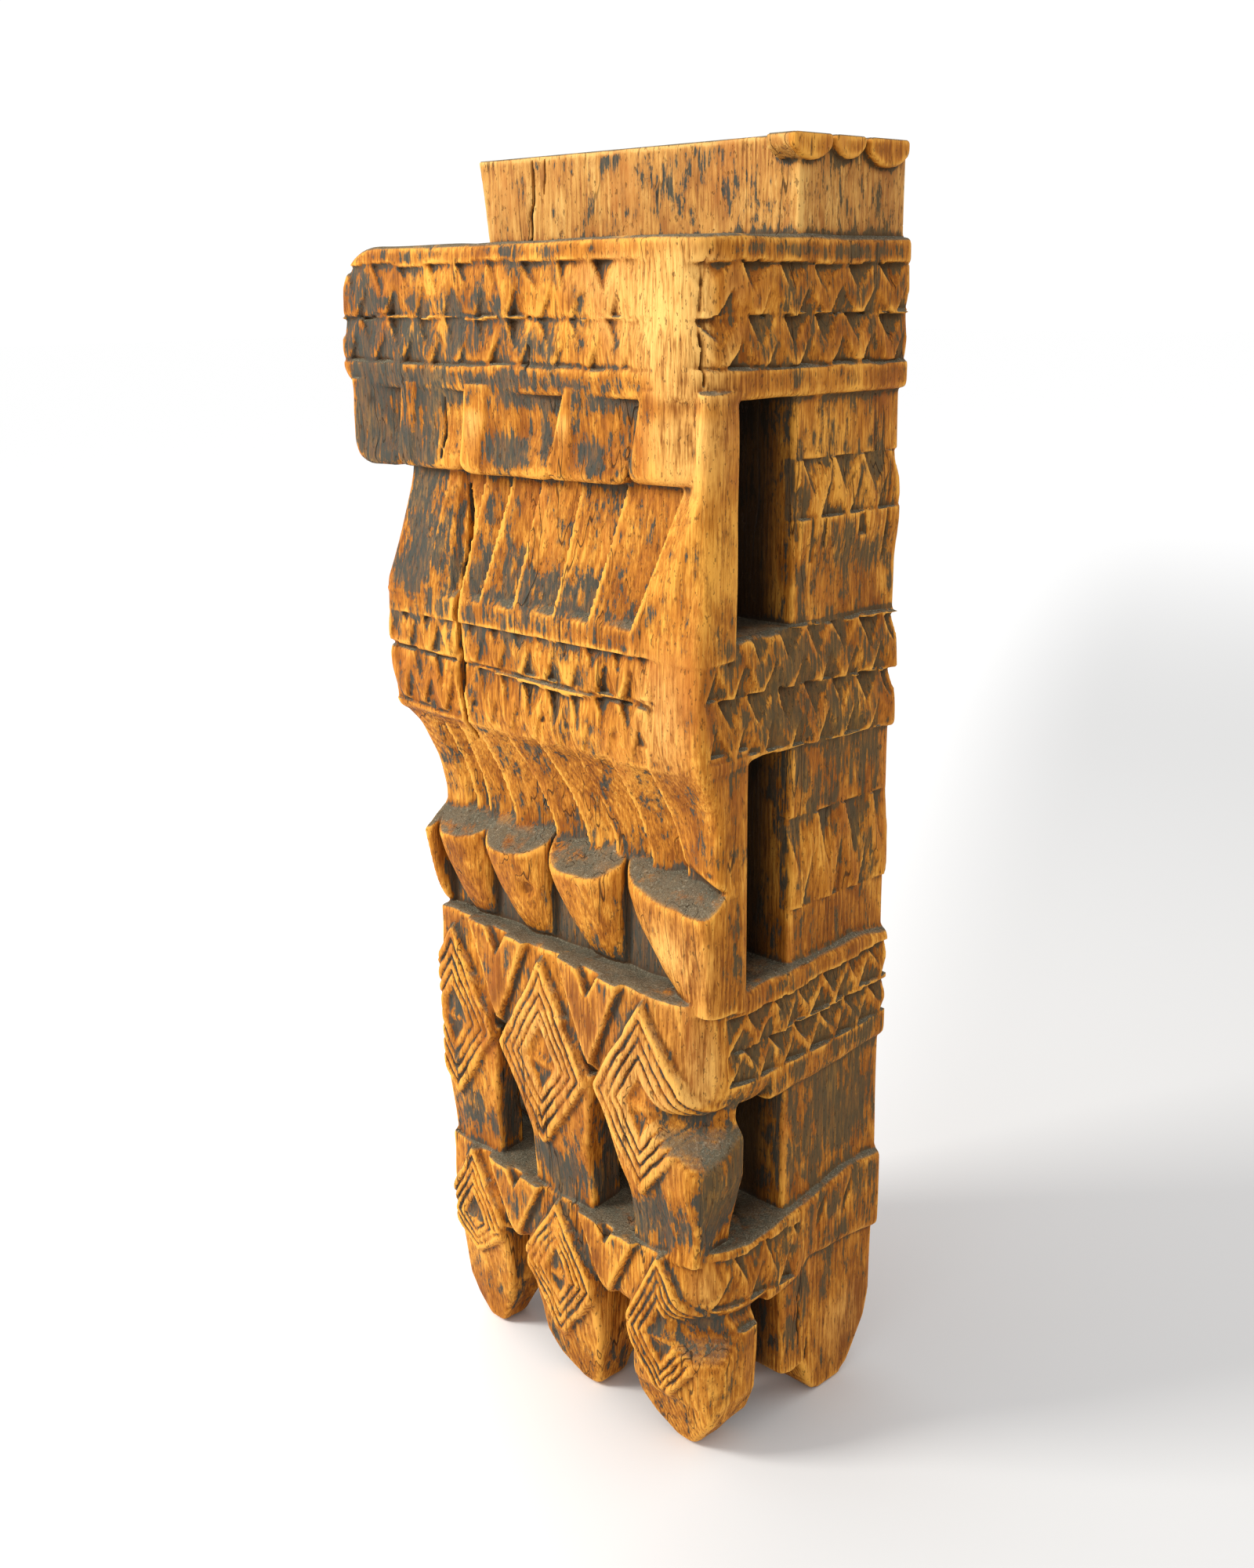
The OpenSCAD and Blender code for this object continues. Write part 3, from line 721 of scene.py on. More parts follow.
def post(x, y, z):
    left = post_left + 1.0 + 0.8 * noise(112, (24, 70), y, z) - x
    bands = 0
    for low, high in side_band_levels(y):
        bands = np.maximum(bands, ramp(z, low + 1, low + 3) * (1 - ramp(z, high - 3, high - 1)))
    right = x - (np.minimum(post_side(y, z), right_x) - 14 * bands)
    front = post_front + 0.8 + 0.9 * noise(113, (30, 60), x, z) - y
    back = y - (back_y - 1.0 - 0.9 * noise(114, (70, 90), x, z))
    foot = foot_bottom(x, y) - z
    return meet(4, left, right, front, back, foot)


def foot_bottom(x, y):
    """Broken step at the front of the foot, flat sole, rounded heel."""
    profile = np.interp(y, [post_front, 8, 20, 29, 37, 46, 72, 82, 90, 106, 113, back_y],
                        [39, 34, 35, 12, 3, 0.3, 0.3, 6, 18, 42, 66, 96])
    return profile + np.clip(2.2 * noise(115, (28, 16), x, y), 0, 3) * (profile > 2)


def side_band_levels(y):
    """Lower and upper edge of the middle, upper and lower band on the sides of the post."""
    back = np.clip((y - front_y) / (back_y - front_y), 0, 1)
    return (mix(583, 573, back), mix(669, 664, back)), side_a_edges(y), side_b_edges(y)


def side_bands(x, y, z):
    """The three bands carried on round the sides of the post."""
    total = FAR
    lefts = flare_left, post_left - 6, post_left - 6
    rounding = 3, 10, 8
    runs = zip((side_rows_mid, side_rows_a, side_rows_b), side_band_levels(y), lefts, rounding)
    for cut, (low, high), left_at, r in runs:
        ledge = 0.9 * noise(116, (18, 1), y, 0 * z)
        depth = cut(y, z)
        right = x - (right_x - depth)
        left = left_at + 0.8 + 0.45 * depth - x
        top, bottom = z - high - ledge, low + ledge - z
        outer = meet(r, meet(r, right, top), bottom)
        total = np.minimum(total, meet(3, outer, left, y - back_y + 1.0, -30 - y))
    return total


# Drying cracks: the face it is on, the place across the face, from and to in z, width, depth
CRACKS = [
    ("front", -64, 556, 762, 5.5, 16),
    ("front", -77, 930, 1001, 3.2, 12),
    ("front", -66, 962, 1001, 2.2, 6),
    ("front", -77, 770, 826, 2.4, 6),
    ("front", 26, 832, 872, 2.0, 4),
    ("side", -95, 832, 934, 2.4, 7),
    ("side", 12, 56, 112, 2.6, 8),
    ("side", 28, 34, 58, 3.2, 9),
    ("back", -40, 120, 720, 3.4, 12),
    ("back", 95, 480, 1001, 2.8, 10),
    ("left", 60, 300, 860, 2.6, 8),
]


def cracks(x, y, z):
    """Positive inside a crack."""
    total = -FAR
    for i, (face, place, low, high, width, depth) in enumerate(CRACKS):
        across = y if face in ("side", "left") else x
        middle = place + 5 * noise(120 + i, (55, 1), z, 0 * z) + 1.3 * noise(140 + i, (11, 1), z, 0 * z)
        ends = np.clip(np.minimum(z - low, high - z) / 30, 0, 1)
        gap = width / 2 * np.sqrt(ends) - np.abs(across - middle)
        skin = {"front": np.where(z > crown_top, post_front, front_y + 12),
                "side": post_right + 2, "back": back_y, "left": post_left - 4}[face]
        into = {"front": y - skin, "side": skin - x, "back": skin - y, "left": x - skin}[face]
        total = np.maximum(total, np.minimum(gap, (depth + 6 - into) * 0.3))
    return total


# Each member, and from where to where in z it counts
MEMBERS = [
    (crown, 826, 940),
    (shaft, 930, 1004),
    (tabs, 760, 836),
    (upper_slab, 652, 838),
    (mid_band, 560, 680),
    (lower_slab, 384, 592),
    (cups, 384, 496),
    (band_a, 290, 412),
    (upper_pendants, 176, 352),
    (band_b, 96, 210),
    (lower_pendants, -4, 166),
    (post, -4, 836),
    (side_bands, 96, 672),
]


def wood(x, y, z):
    """How far a point is outside the wood, in mm; negative inside."""
    low, high = float(np.min(z)), float(np.max(z))
    total = np.full(np.broadcast_shapes(x.shape, y.shape, z.shape), FAR, np.float32)
    for member, start, end in MEMBERS:
        a = np.searchsorted(z.ravel(), start)
        b = np.searchsorted(z.ravel(), end)
        if b <= a or low > end or high < start:
            continue
        part = member(x, y, z[:, :, a:b])
        view = total[:, :, a:b]
        near = np.maximum(SEAM - np.abs(view - part), 0)
        view[:] = np.minimum(view, part) - near * near / (4 * SEAM)
    box = np.maximum(np.maximum(x - right_x, left_x - x), np.maximum(y - back_y, front_y - y))
    total = np.maximum(total, box)
    total = np.maximum(total, np.maximum(z - top_z, -z))
    return np.maximum(total, cracks(x, y, z)).astype(np.float32)


# ---------------------------------------------------------------- meshes

MARGIN_CELLS = 6   # lattice cells round a piece, for the cut and the blur
WIDE_BLUR = 3.2    # reach of the blur that finds hollows and worn edges, in mm


def axes_round(low, high):
    """Lattice places round a box, with some cells to spare on each side."""
    return [np.arange(math.floor(a / STEP) - MARGIN_CELLS, math.ceil(b / STEP) + MARGIN_CELLS + 1) * STEP
            for a, b in zip(low, high)]


def sample(low, high):
    """The lattice round a box, and how far each of its points is outside the wood."""
    xs, ys, zs = axes_round(low, high)
    field = wood(xs[:, None, None].astype(np.float32), ys[None, :, None].astype(np.float32),
                 zs[None, None, :].astype(np.float32))
    return (xs, ys, zs), field


def blurred(solid, cells):
    """Two box blurs along each axis; outside the array there is no wood."""
    size = 2 * cells + 1
    for axis in range(3):
        for _ in range(2):
            pad = [(0, 0)] * 3
            pad[axis] = (cells + 1, cells)
            total = np.cumsum(np.pad(solid, pad), axis=axis, dtype=np.float64)
            n = total.shape[axis]
            after = np.take(total, range(size, n), axis=axis)
            before = np.take(total, range(0, n - size), axis=axis)
            solid = ((after - before) / size).astype(np.float32)
    return solid


def look_up(axes, values, points):
    """Values of a lattice at scattered points, in mm."""
    cells = []
    for place, c in zip(axes, points.T):
        t = np.clip((c - place[0]) / (place[1] - place[0]), 0, len(place) - 1.001)
        whole = t.astype(np.int32)
        cells.append((whole, t - whole))
    total = 0
    for corner in itertools.product((0, 1), repeat=3):
        weight, index = 1, []
        for bit, (whole, f) in zip(corner, cells):
            weight = weight * (f if bit else 1 - f)
            index.append(whole + bit)
        total = total + weight * values[tuple(index)]
    return total


def new_mesh(name, points, faces):
    mesh = bpy.data.meshes.new(name)
    mesh.vertices.add(len(points))
    mesh.vertices.foreach_set("co", np.ascontiguousarray(points, np.float32).ravel())
    mesh.loops.add(faces.size)
    mesh.loops.foreach_set("vertex_index", np.ascontiguousarray(faces, np.int32).ravel())
    mesh.polygons.add(len(faces))
    mesh.polygons.foreach_set("loop_start", np.arange(0, faces.size, faces.shape[1], dtype=np.int32))
    mesh.update(calc_edges=True)
    mesh.validate()
    return mesh


def prism(outline, axis, low, high):
    """A closed mesh: an outline in the two other axes, run along axis from low to high, in mm."""
    others = [a for a in (X, Y, Z) if a != axis]
    points = []
    for place in (low, high):
        for u, v in outline:
            p = [0, 0, 0]
            p[axis], p[others[0]], p[others[1]] = place * MM, u * MM, v * MM
            points.append(p)
    n = len(outline)
    faces = [list(range(n))[::-1], list(range(n, 2 * n))]
    faces += [[i, (i + 1) % n, n + (i + 1) % n, n + i] for i in range(n)]
    mesh = bpy.data.meshes.new("prism")
    mesh.from_pydata(points, [], faces)
    area = sum(u0 * v1 - u1 * v0 for (u0, v0), (u1, v1) in zip(outline, outline[1:] + outline[:1]))
    if (area < 0) != (axis == Y):
        mesh.flip_normals()
    return mesh


def block(x0, x1, y0, y1, z0, z1):
    return prism([(x0, y0), (x1, y0), (x1, y1), (x0, y1)], Z, z0, z1)


def combine(mesh, cutter, operation):
    """mesh and cutter intersected, joined or subtracted, as a new mesh."""
    a = bpy.data.objects.new("a", mesh)
    b = bpy.data.objects.new("b", cutter)
    for o in (a, b):
        bpy.context.scene.collection.objects.link(o)
    modifier = a.modifiers.new("cut", "BOOLEAN")
    modifier.operation = operation
    modifier.solver = "MANIFOLD"
    modifier.object = b
    bpy.context.view_layer.update()
    result = bpy.data.meshes.new_from_object(a.evaluated_get(bpy.context.evaluated_depsgraph_get()))
    for o in (a, b):
        bpy.data.objects.remove(o)
    return result


# ---------------------------------------------------------------- where one piece ends and the next starts

WIDE = 260          # reaches past the bracket on every side
SLOT_MIDDLE = -33   # plane inside the slots that parts the front from the post
VEE_BACK = -96      # plane behind the raised Vs


def everything(**limits):
    """A block as wide as the whole bracket apart from the limits given."""
    sides = dict(x0=-WIDE, x1=WIDE, y0=-WIDE, y1=WIDE, z0=-20, z1=top_z + 20)
    sides.update(limits)
    return block(**sides)


def pendant_prism(i, lozenges, low, band_low):
    """The cell below a band, and the upper half of its lozenge."""
    (cx, _), loz_top, _, left, right = lozenges[i]
    x0 = -WIDE if i == 0 else (lozenges[i - 1][4] + left) / 2
    x1 = WIDE if i == 2 else (right + lozenges[i + 1][3]) / 2
    outline = [(x0, low), (x1, low), (x1, band_low), (min(right + 2, x1 - 2), band_low),
               (cx, loz_top + 3), (max(left - 2, x0 + 2), band_low), (x0, band_low)]
    return prism(outline, Y, -WIDE, SLOT_MIDDLE)


def vee_prism(cx, top, drop):
    half = 38
    outline = [(cx - half, top), (cx, top - drop), (cx + half, top)]
    return prism(outline, Y, -WIDE, VEE_BACK)


def side_plates(low, high):
    right = everything(x0=post_right, y0=post_front, z0=low, z1=high)
    left = everything(x1=post_left, y0=post_front, z0=low, z1=high)
    return right, left


def post_prism():
    """Everything behind the slots and the bands."""
    front, slot = post_front, SLOT_MIDDLE
    outline = [(WIDE, -20), (WIDE, crown_z), (slot, crown_z), (slot, mid_top), (front, mid_top),
               (front, mid_z), (slot, mid_z), (slot, cup_z), (front, cup_z), (front, band_a_z),
               (slot, band_a_z), (slot, band_b_top), (front, band_b_top), (front, band_b_z),
               (slot, band_b_z), (slot, -20)]
    return prism(outline, X, -WIDE, WIDE)


def pieces():
    """Each piece: its name, the prisms it fills, and the prisms taken out of it."""
    relief_levels = {name: span(name, Z) for name in ("upper_side_relief", "lower_side_relief")}
    plate_levels = {"mid_band_side": (side_mid_z, side_mid_top), "upper_band_side": (side_a_z, side_a_top),
                    "lower_band_side": (side_b_z, side_b_top)}
    plates = [p for low, high in plate_levels.values() for p in side_plates(low, high)]
    reliefs = [everything(x0=post_right, y0=post_front, z0=low, z1=high)
               for low, high in relief_levels.values()]
    upper = [pendant_prism(i, UPPER_LOZENGES, band_b_top, band_a_z) for i in range(3)]
    lower = [pendant_prism(i, LOWER_LOZENGES, -20, band_b_z) for i in range(3)]
    upper_v = [vee_prism(cx, cup_z, UPPER_DROP) for cx in UPPER_VEES]
    lower_v = [vee_prism(cx, band_b_top, LOWER_DROP) for cx in LOWER_VEES]

    out = [
        ("shaft", [everything(x1=post_right, z0=crown_top)], []),
        ("top_teeth", [everything(x0=post_right, z0=crown_top)], []),
        ("crown", [everything(z0=crown_z, z1=crown_top)], []),
        ("post", [post_prism()], plates + reliefs),
        ("upper_panel", [everything(y0=upper_face, y1=SLOT_MIDDLE, z0=mid_top, z1=crown_z)], []),
        ("upper_flutes", [everything(y1=upper_face, z0=mid_top, z1=tab_z)], []),
        ("mid_band", [everything(y1=post_front, z0=mid_z, z1=mid_top)], []),
        ("lower_panel", [everything(y0=lower_face, y1=SLOT_MIDDLE, z0=cup_z, z1=mid_z)], []),
        ("lower_flutes", [everything(y1=lower_face, z0=cup_top, z1=mid_z)], []),
        ("upper_lozenge_band", [everything(y1=post_front, z0=band_a_z, z1=cup_z)], upper + upper_v),
        ("lower_lozenge_band", [everything(y1=post_front, z0=band_b_z, z1=band_b_top)], lower + lower_v),
        ("upper_vees", upper_v, upper),
        ("lower_vees", lower_v, lower),
    ]
    for i in range(5):
        x0, x1 = ([-WIDE] + tab_edges[1:5])[i], (tab_edges[1:5] + [WIDE])[i]
        out.append((f"tab_{i + 1}", [everything(x0=x0, x1=x1, y1=upper_face, z0=tab_z, z1=crown_z)], []))
    cuts = [(a[1] + b[0]) / 2 for a, b in zip(CUPS, CUPS[1:])]
    for i in range(5):
        x0, x1 = ([-WIDE] + cuts)[i], (cuts + [WIDE])[i]
        out.append((f"cup_{i + 1}", [everything(x0=x0, x1=x1, y1=lower_face, z0=cup_z, z1=cup_top)], []))
    for i in range(3):
        out.append((f"upper_pendant_{i + 1}", [upper[i]], []))
        out.append((f"lower_pendant_{i + 1}", [lower[i]], []))
    for name, (low, high) in plate_levels.items():
        out.append((name, list(side_plates(low, high)), []))
    for name, plate in zip(relief_levels, reliefs):
        out.append((name, [plate], []))
    return out


def reach_of(meshes):
    """The box round some meshes, no larger than the bracket, in mm."""
    points = np.array([v.co for m in meshes for v in m.vertices]) / MM
    low = np.maximum(points.min(0), [left_x, front_y, 0])
    high = np.minimum(points.max(0), [right_x, back_y, top_z])
    return low, high


def carve(name, fills, cuts):
    """The piece's mesh: the sculpted wood inside its prisms."""
    low, high = reach_of(fills)
    axes, field = sample(low, high)
    band = 3 * STEP
    grid = openvdb.FloatGrid(background=band)
    grid.copyFromArray(np.ascontiguousarray(np.clip(field, -band, band)))
    points, quads = grid.convertToQuads()
    points = points * STEP + np.array([a[0] for a in axes])
    mesh = new_mesh(name, points * MM, quads)
    filled = fills[0]
    for more in fills[1:]:
        filled = combine(filled, more, "UNION")
    mesh = combine(mesh, filled, "INTERSECT")
    for cut in cuts:
        mesh = combine(mesh, cut, "DIFFERENCE")
    solid = np.clip(0.5 - field / (2 * STEP), 0, 1)
    paint(mesh, axes, {"fine": blurred(solid, 1), "near": blurred(solid, round(WIDE_BLUR / STEP))})
    mesh.name = name
    return mesh


def paint(mesh, axes, filled):
    """Vertex attributes for the wood material."""
    count = len(mesh.vertices)
    points = np.empty(count * 3, np.float32)
    mesh.vertices.foreach_get("co", points)
    points = points.reshape(-1, 3) / MM
    layers = {key: look_up(axes, values, points) for key, values in filled.items()}
    layers["soot_and_shade"] = soot_and_shade(*points.T)
    layers["slot"] = slot_shade(*points.T)
    for key, values in layers.items():
        mesh.attributes.new(key, "FLOAT", "POINT").data.foreach_set("value", values.astype(np.float32))


# Dark patina, painted shade under the crown, under the noses and on the panel behind the cups, and the
# places rubbed pale: middle, reach along x, y and z, and strength
SOOT_AND_SHADE_SPOTS = [
    ((-140, -110, 885), (75, 60, 60), 0.6),
    ((-40, -115, 868), (120, 20, 18), 0.8),
    ((-60, -115, 892), (130, 20, 8), 0.5),
    ((-10, -115, 839), (130, 20, 9), 1.1),
    ((0, -112, 930), (150, 30, 9), 0.5),
    ((-158, -100, 800), (30, 40, 50), 1.7),
    ((-95, -108, 788), (28, 20, 24), 1.0),
    ((2, -108, 786), (30, 15, 20), 1.3),
    ((84, -108, 788), (26, 15, 24), 1.1),
    ((127, -110, 795), (8, 15, 28), 0.8),
    ((-108, -100, 715), (46, 40, 60), 1.0),
    ((10, -105, 690), (90, 25, 22), 0.8),
    ((-30, -110, 655), (90, 25, 14), 0.5),
    ((200, 10, 625), (30, 110, 42), 0.9),
    ((200, 20, 885), (30, 100, 35), 0.6),
    ((200, 10, 925), (30, 120, 9), 0.5),
    ((190, 60, 960), (20, 70, 36), 0.25),
    ((192, 20, 800), (20, 90, 30), 0.3),
    ((192, 60, 715), (20, 70, 26), 0.6),
    ((192, 50, 555), (20, 90, 30), 0.8),
    ((200, 30, 345), (30, 90, 45), 0.9),
    ((192, 40, 252), (20, 100, 52), 1.0),
    ((200, 30, 165), (30, 90, 30), 0.35),
    ((192, 60, 108), (20, 40, 20), 1.0),
    ((192, 5, 85), (20, 20, 40), 0.7),
    ((197, -72, 250), (12, 26, 50), 2.2),
    ((190, -90, 228), (14, 18, 30), 1.4),
    ((136, -106, 206), (40, 20, 22), 1.6),
    ((-95, -96, 206), (40, 14, 18), 1.2),
    ((24, -98, 200), (40, 14, 24), 0.8),
    ((-56, -70, 235), (9, 24, 50), 0.9),
    ((64, -70, 235), (9, 24, 50), 1.0),
    # Painted shade under the crown, on the tops of the tabs
    ((20, -105, 824), (170, 20, 7), 0.8),
    ((0, -90, 205), (90, 60, 22), 0.7),
    # Patina and painted shade on the recessed panel behind the cups
    ((0, -74, 430), (190, 9, 44), 1.6),
    ((0, -100, 30), (200, 60, 22), 0.4),
    # Painted shade under the noses of the two bands
    ((180, -90, 304), (24, 14, 7), 1.2),
    ((180, -88, 121), (24, 14, 7), 1.2),
    ((196, -18, 700), (20, 22, 110), 0.7),
    ((196, -18, 500), (20, 22, 80), 0.7),
    # Rubbed pale
    ((196, 80, 60), (20, 44, 56), -0.5),
    ((20, -95, 60), (190, 20, 50), -0.25),
    ((174, -105, 885), (30, 40, 56), -1.3),
    ((110, -112, 890), (50, 20, 50), -0.6),
    ((172, -100, 800), (30, 30, 40), -0.7),
    ((64, -110, 800), (12, 12, 40), -0.7),
    ((-34, -110, 805), (14, 12, 34), -0.7),
    ((160, -112, 612), (36, 20, 50), -0.6),
    ((150, -104, 430), (50, 24, 34), -0.6),
    ((10, -105, 310), (50, 14, 70), -0.5),
    ((132, -112, 310), (56, 14, 80), -0.6),
    ((186, -98, 340), (16, 24, 48), -0.8),
    ((186, -96, 160), (18, 24, 34), -0.5),
    ((118, -75, 965), (26, 30, 50), -0.7),
]


def slot_shade(x, y, z):
    """1 deep inside the slots between the carved front and the post, 0 at their mouths."""
    total = 0
    for low, high, face in ((mid_top, crown_z, upper_back), (cup_z, mid_z, lower_back),
                            (band_b_top, band_a_z, pendant_back), (0, band_b_z, lower_body_back)):
        inside = ramp(y, face - 4, face) * (1 - ramp(y, post_front + 1, post_front + 5))
        total = np.maximum(total, inside * (z > low - 3) * (z < high + 3))
    return total * ramp(right_x - x, 4, 42) * ramp(x - left_x, 10, 60)


# Chipped rows on the right: from and to in z, the plane they are cut into, and where they start in y
relief_x = post_right + RELIEF_HEIGHT
SIDE_ROWS = [(850, 919, right_x, -98), (*UPPER_RELIEF[:2], relief_x, -98), (574, 669, right_x, -98),
             (*LOWER_RELIEF[:2], relief_x, -98), (324, 394, right_x, -76), (134, 181, right_x, -76)]
# Chipped rows on the front: from and to in z, depth of the ribbon, and the plain width at the right
FRONT_ROWS = [(850, 921, 6.0, 50), (590, 668, 5.5, 40)]
CHIP_REACH = 14
MOST_PATINA_AND_SHADE = 1.25
# Patina and painted shade on the floors of the chips and in the lozenge lines
PIT_PATINA_AND_SHADE = 0.72


def pit_depth(x, y, z):
    """0 to 1 on the floors of the chips and in the lines of the lozenges."""
    total = 0
    for low, high, skin, start in SIDE_ROWS:
        depth = ramp(skin - x, 3.0, 7.5) * (x > skin - CHIP_REACH) * ramp(y, start, start + 12)
        total = np.maximum(total, depth * (z > low) * (z < high))
    for one in UPPER_LOZENGES + LOWER_LOZENGES:
        inside, depth = lozenge(x, z, *one)
        total = np.maximum(total, 0.9 * ramp(depth, 0.9, 2.4) * (inside > 0) * (y < -78))
    for low, high, ribbon, plain in FRONT_ROWS:
        depth = ramp(y - front_y, ribbon, 9.0) * (y < front_y + CHIP_REACH)
        total = np.maximum(total, 0.8 * depth * (z > low) * (z < high) * (x < right_x - plain))
    return total


def soot_and_shade(x, y, z):
    """Strength of the dark patina, and of painted shade under things and in the chip pits; negative where
    the wood is rubbed pale.
    """
    total = 0
    for middle, reach, strength in SOOT_AND_SHADE_SPOTS:
        away = sum(((a - m) / r) ** 2 for a, m, r in zip((x, y, z), middle, reach))
        total = total + strength * np.exp(-away)
    # The sum holds patina, painted shade and rubbed-pale spots; the pits add patina and painted shade
    return np.minimum(total, MOST_PATINA_AND_SHADE) + PIT_PATINA_AND_SHADE * pit_depth(x, y, z)


# ---------------------------------------------------------------- materials

RUDDY = (0.400, 0.120, 0.018, 1)
RUBBED = (0.900, 0.520, 0.150, 1)
# Patina colours, which also colour the painted shade spots
SLATE_PATINA_AND_SHADE = (0.040, 0.050, 0.044, 1)
BROWN_PATINA_AND_SHADE = (0.092, 0.060, 0.024, 1)
# Dark brown for dirt and painted shade in hollows and creases, and for the specks
GRIME_AND_SHADE = (0.060, 0.027, 0.007, 1)
# Near black painted shade deep inside the slots
PAINTED_SLOT_SHADE = (0.020, 0.012, 0.006, 1)
DUST = (0.120, 0.106, 0.070, 1)
PALE_DUST = (0.380, 0.335, 0.235, 1)
CRACK = (0.030, 0.016, 0.008, 1)


class Nodes:
    """Short calls for building a node tree."""

    def __init__(self, name):
        self.material = bpy.data.materials.new(name)
        self.material.use_nodes = True
        self.tree = self.material.node_tree
        self.shader = self.tree.nodes["Principled BSDF"]

    def add(self, kind, inputs=(), **settings):
        node = self.tree.nodes.new(kind)
        for key, value in settings.items():
            setattr(node, key, value)
        for key, value in dict(inputs).items():
            self.put(node.inputs[key], value)
        return node

    def put(self, socket, value):
        if isinstance(value, bpy.types.NodeSocket):
            self.tree.links.new(value, socket)
        else:
            socket.default_value = value

    def math(self, operation, a, b=0.0):
        return self.add("ShaderNodeMath", {0: a, 1: b}, operation=operation).outputs[0]

    def times(self, a, b):
        return self.math("MULTIPLY", a, b)

    def scaled(self, vector, scale):
        return self.add("ShaderNodeVectorMath", {0: vector, 1: scale}, operation="MULTIPLY").outputs[0]

    def noise(self, vector, scale, detail=2.0, rough=0.5, twist=0.0):
        settings = {"Vector": self.scaled(vector, scale), "Scale": 1.0, "Detail": detail,
                    "Roughness": rough, "Distortion": twist}
        return self.add("ShaderNodeTexNoise", settings).outputs["Fac"]

    def ramp(self, value, low, high):
        return self.add("ShaderNodeMapRange", {"Value": value, "From Min": low, "From Max": high},
                        interpolation_type="SMOOTHSTEP").outputs[0]

    def mix(self, fac, a, b):
        node = self.add("ShaderNodeMix", data_type="RGBA", clamp_factor=True)
        self.put(node.inputs[0], fac)
        self.put(node.inputs[6], a)
        self.put(node.inputs[7], b)
        return node.outputs[2]

    def weighted(self, terms):
        """The sum of values times their weights."""
        total = 0.0
        for value, weight in terms:
            node = self.add("ShaderNodeMath", {0: value, 1: weight, 2: total}, operation="MULTIPLY_ADD")
            total = node.outputs[0]
        return total

    def rings(self, place):
        """Growth rings round a pith behind the left of the bracket."""
        pith = (-0.25, 0.36, 0.0)
        from_pith = self.add("ShaderNodeVectorMath", {0: place, 1: pith}, operation="SUBTRACT")
        settings = {"Vector": self.scaled(from_pith.outputs[0], (1, 1, 0.05)), "Scale": 105.0,
                    "Distortion": 5.0, "Detail": 2.0, "Detail Scale": 0.12, "Detail Roughness": 0.6}
        wave = self.add("ShaderNodeTexWave", settings, wave_type="RINGS", rings_direction="SPHERICAL",
                        wave_profile="SIN")
        return wave.outputs["Fac"]

    def attribute(self, name):
        return self.add("ShaderNodeAttribute", attribute_name=name).outputs["Fac"]


def wood_fields(n):
    """What several layers of the wood share: directions, vertex attributes and noises."""
    place = n.add("ShaderNodeTexCoord").outputs["Object"]
    normal = n.add("ShaderNodeNewGeometry").outputs["Normal"]
    return SimpleNamespace(
        place=place,
        up=n.add("ShaderNodeSeparateXYZ", {0: normal}).outputs[2],
        on_side=n.ramp(n.add("ShaderNodeSeparateXYZ", {0: place}).outputs[0], 0.180, 0.190),
        crease=n.math("SUBTRACT", n.attribute("fine"), 0.5),
        hollow=n.math("SUBTRACT", n.attribute("near"), 0.5),
        soot_shade_level=n.attribute("soot_and_shade"),
        deep_in=n.attribute("slot"),
        streaks=n.noise(place, (115, 115, 17), 4, 0.6),
        fibres=n.noise(place, (620, 620, 44), 3, 0.65),
        threads=n.noise(place, (330, 330, 42), 4, 0.7),
        clouds=n.noise(place, (48, 48, 24), 4, 0.6),
        rings=n.rings(place),
    )


def bare_wood(n, f, light, middle, deep):
    """Light where hands have rubbed the edges in places; deeper in the hollows and creases, as dirt and
    painted shade.
    """
    blotches = n.noise(f.place, (15, 15, 11), 5, 0.6, 0.4)
    ring_areas = n.ramp(n.noise(f.place, (9, 9, 5), 2), 0.42, 0.62)
    ring_lines = n.times(n.math("SUBTRACT", f.rings, 0.5), ring_areas)
    worn = n.times(n.ramp(f.hollow, -0.04, -0.16), n.ramp(f.clouds, 0.42, 0.62))
    worn = n.times(worn, n.math("SUBTRACT", 1.0, n.times(f.on_side, 0.55)))
    # The hollow and crease terms darken the tone in concave places: dirt and painted shade
    tone = n.weighted([(f.streaks, 0.42), (f.fibres, 0.70), (blotches, 0.9), (f.clouds, 0.28),
                       (worn, 0.25), (f.hollow, -0.5), (f.crease, -0.5), (ring_lines, 0.13)])
    tone = n.ramp(tone, 0.86, 1.52)
    colour = n.mix(n.ramp(tone, 0.0, 0.48), deep, middle)
    colour = n.mix(n.ramp(tone, 0.40, 0.95), colour, light)
    ruddy = n.ramp(n.noise(f.place, (22, 22, 9), 4, 0.65, 0.5), 0.50, 0.68)
    colour = n.mix(n.times(ruddy, 0.5), colour, RUDDY)
    rubbed = n.times(n.ramp(f.soot_shade_level, 0.0, -1.0), n.ramp(tone, -0.1, 0.7))
    return n.mix(n.times(rubbed, 0.85), colour, RUBBED)


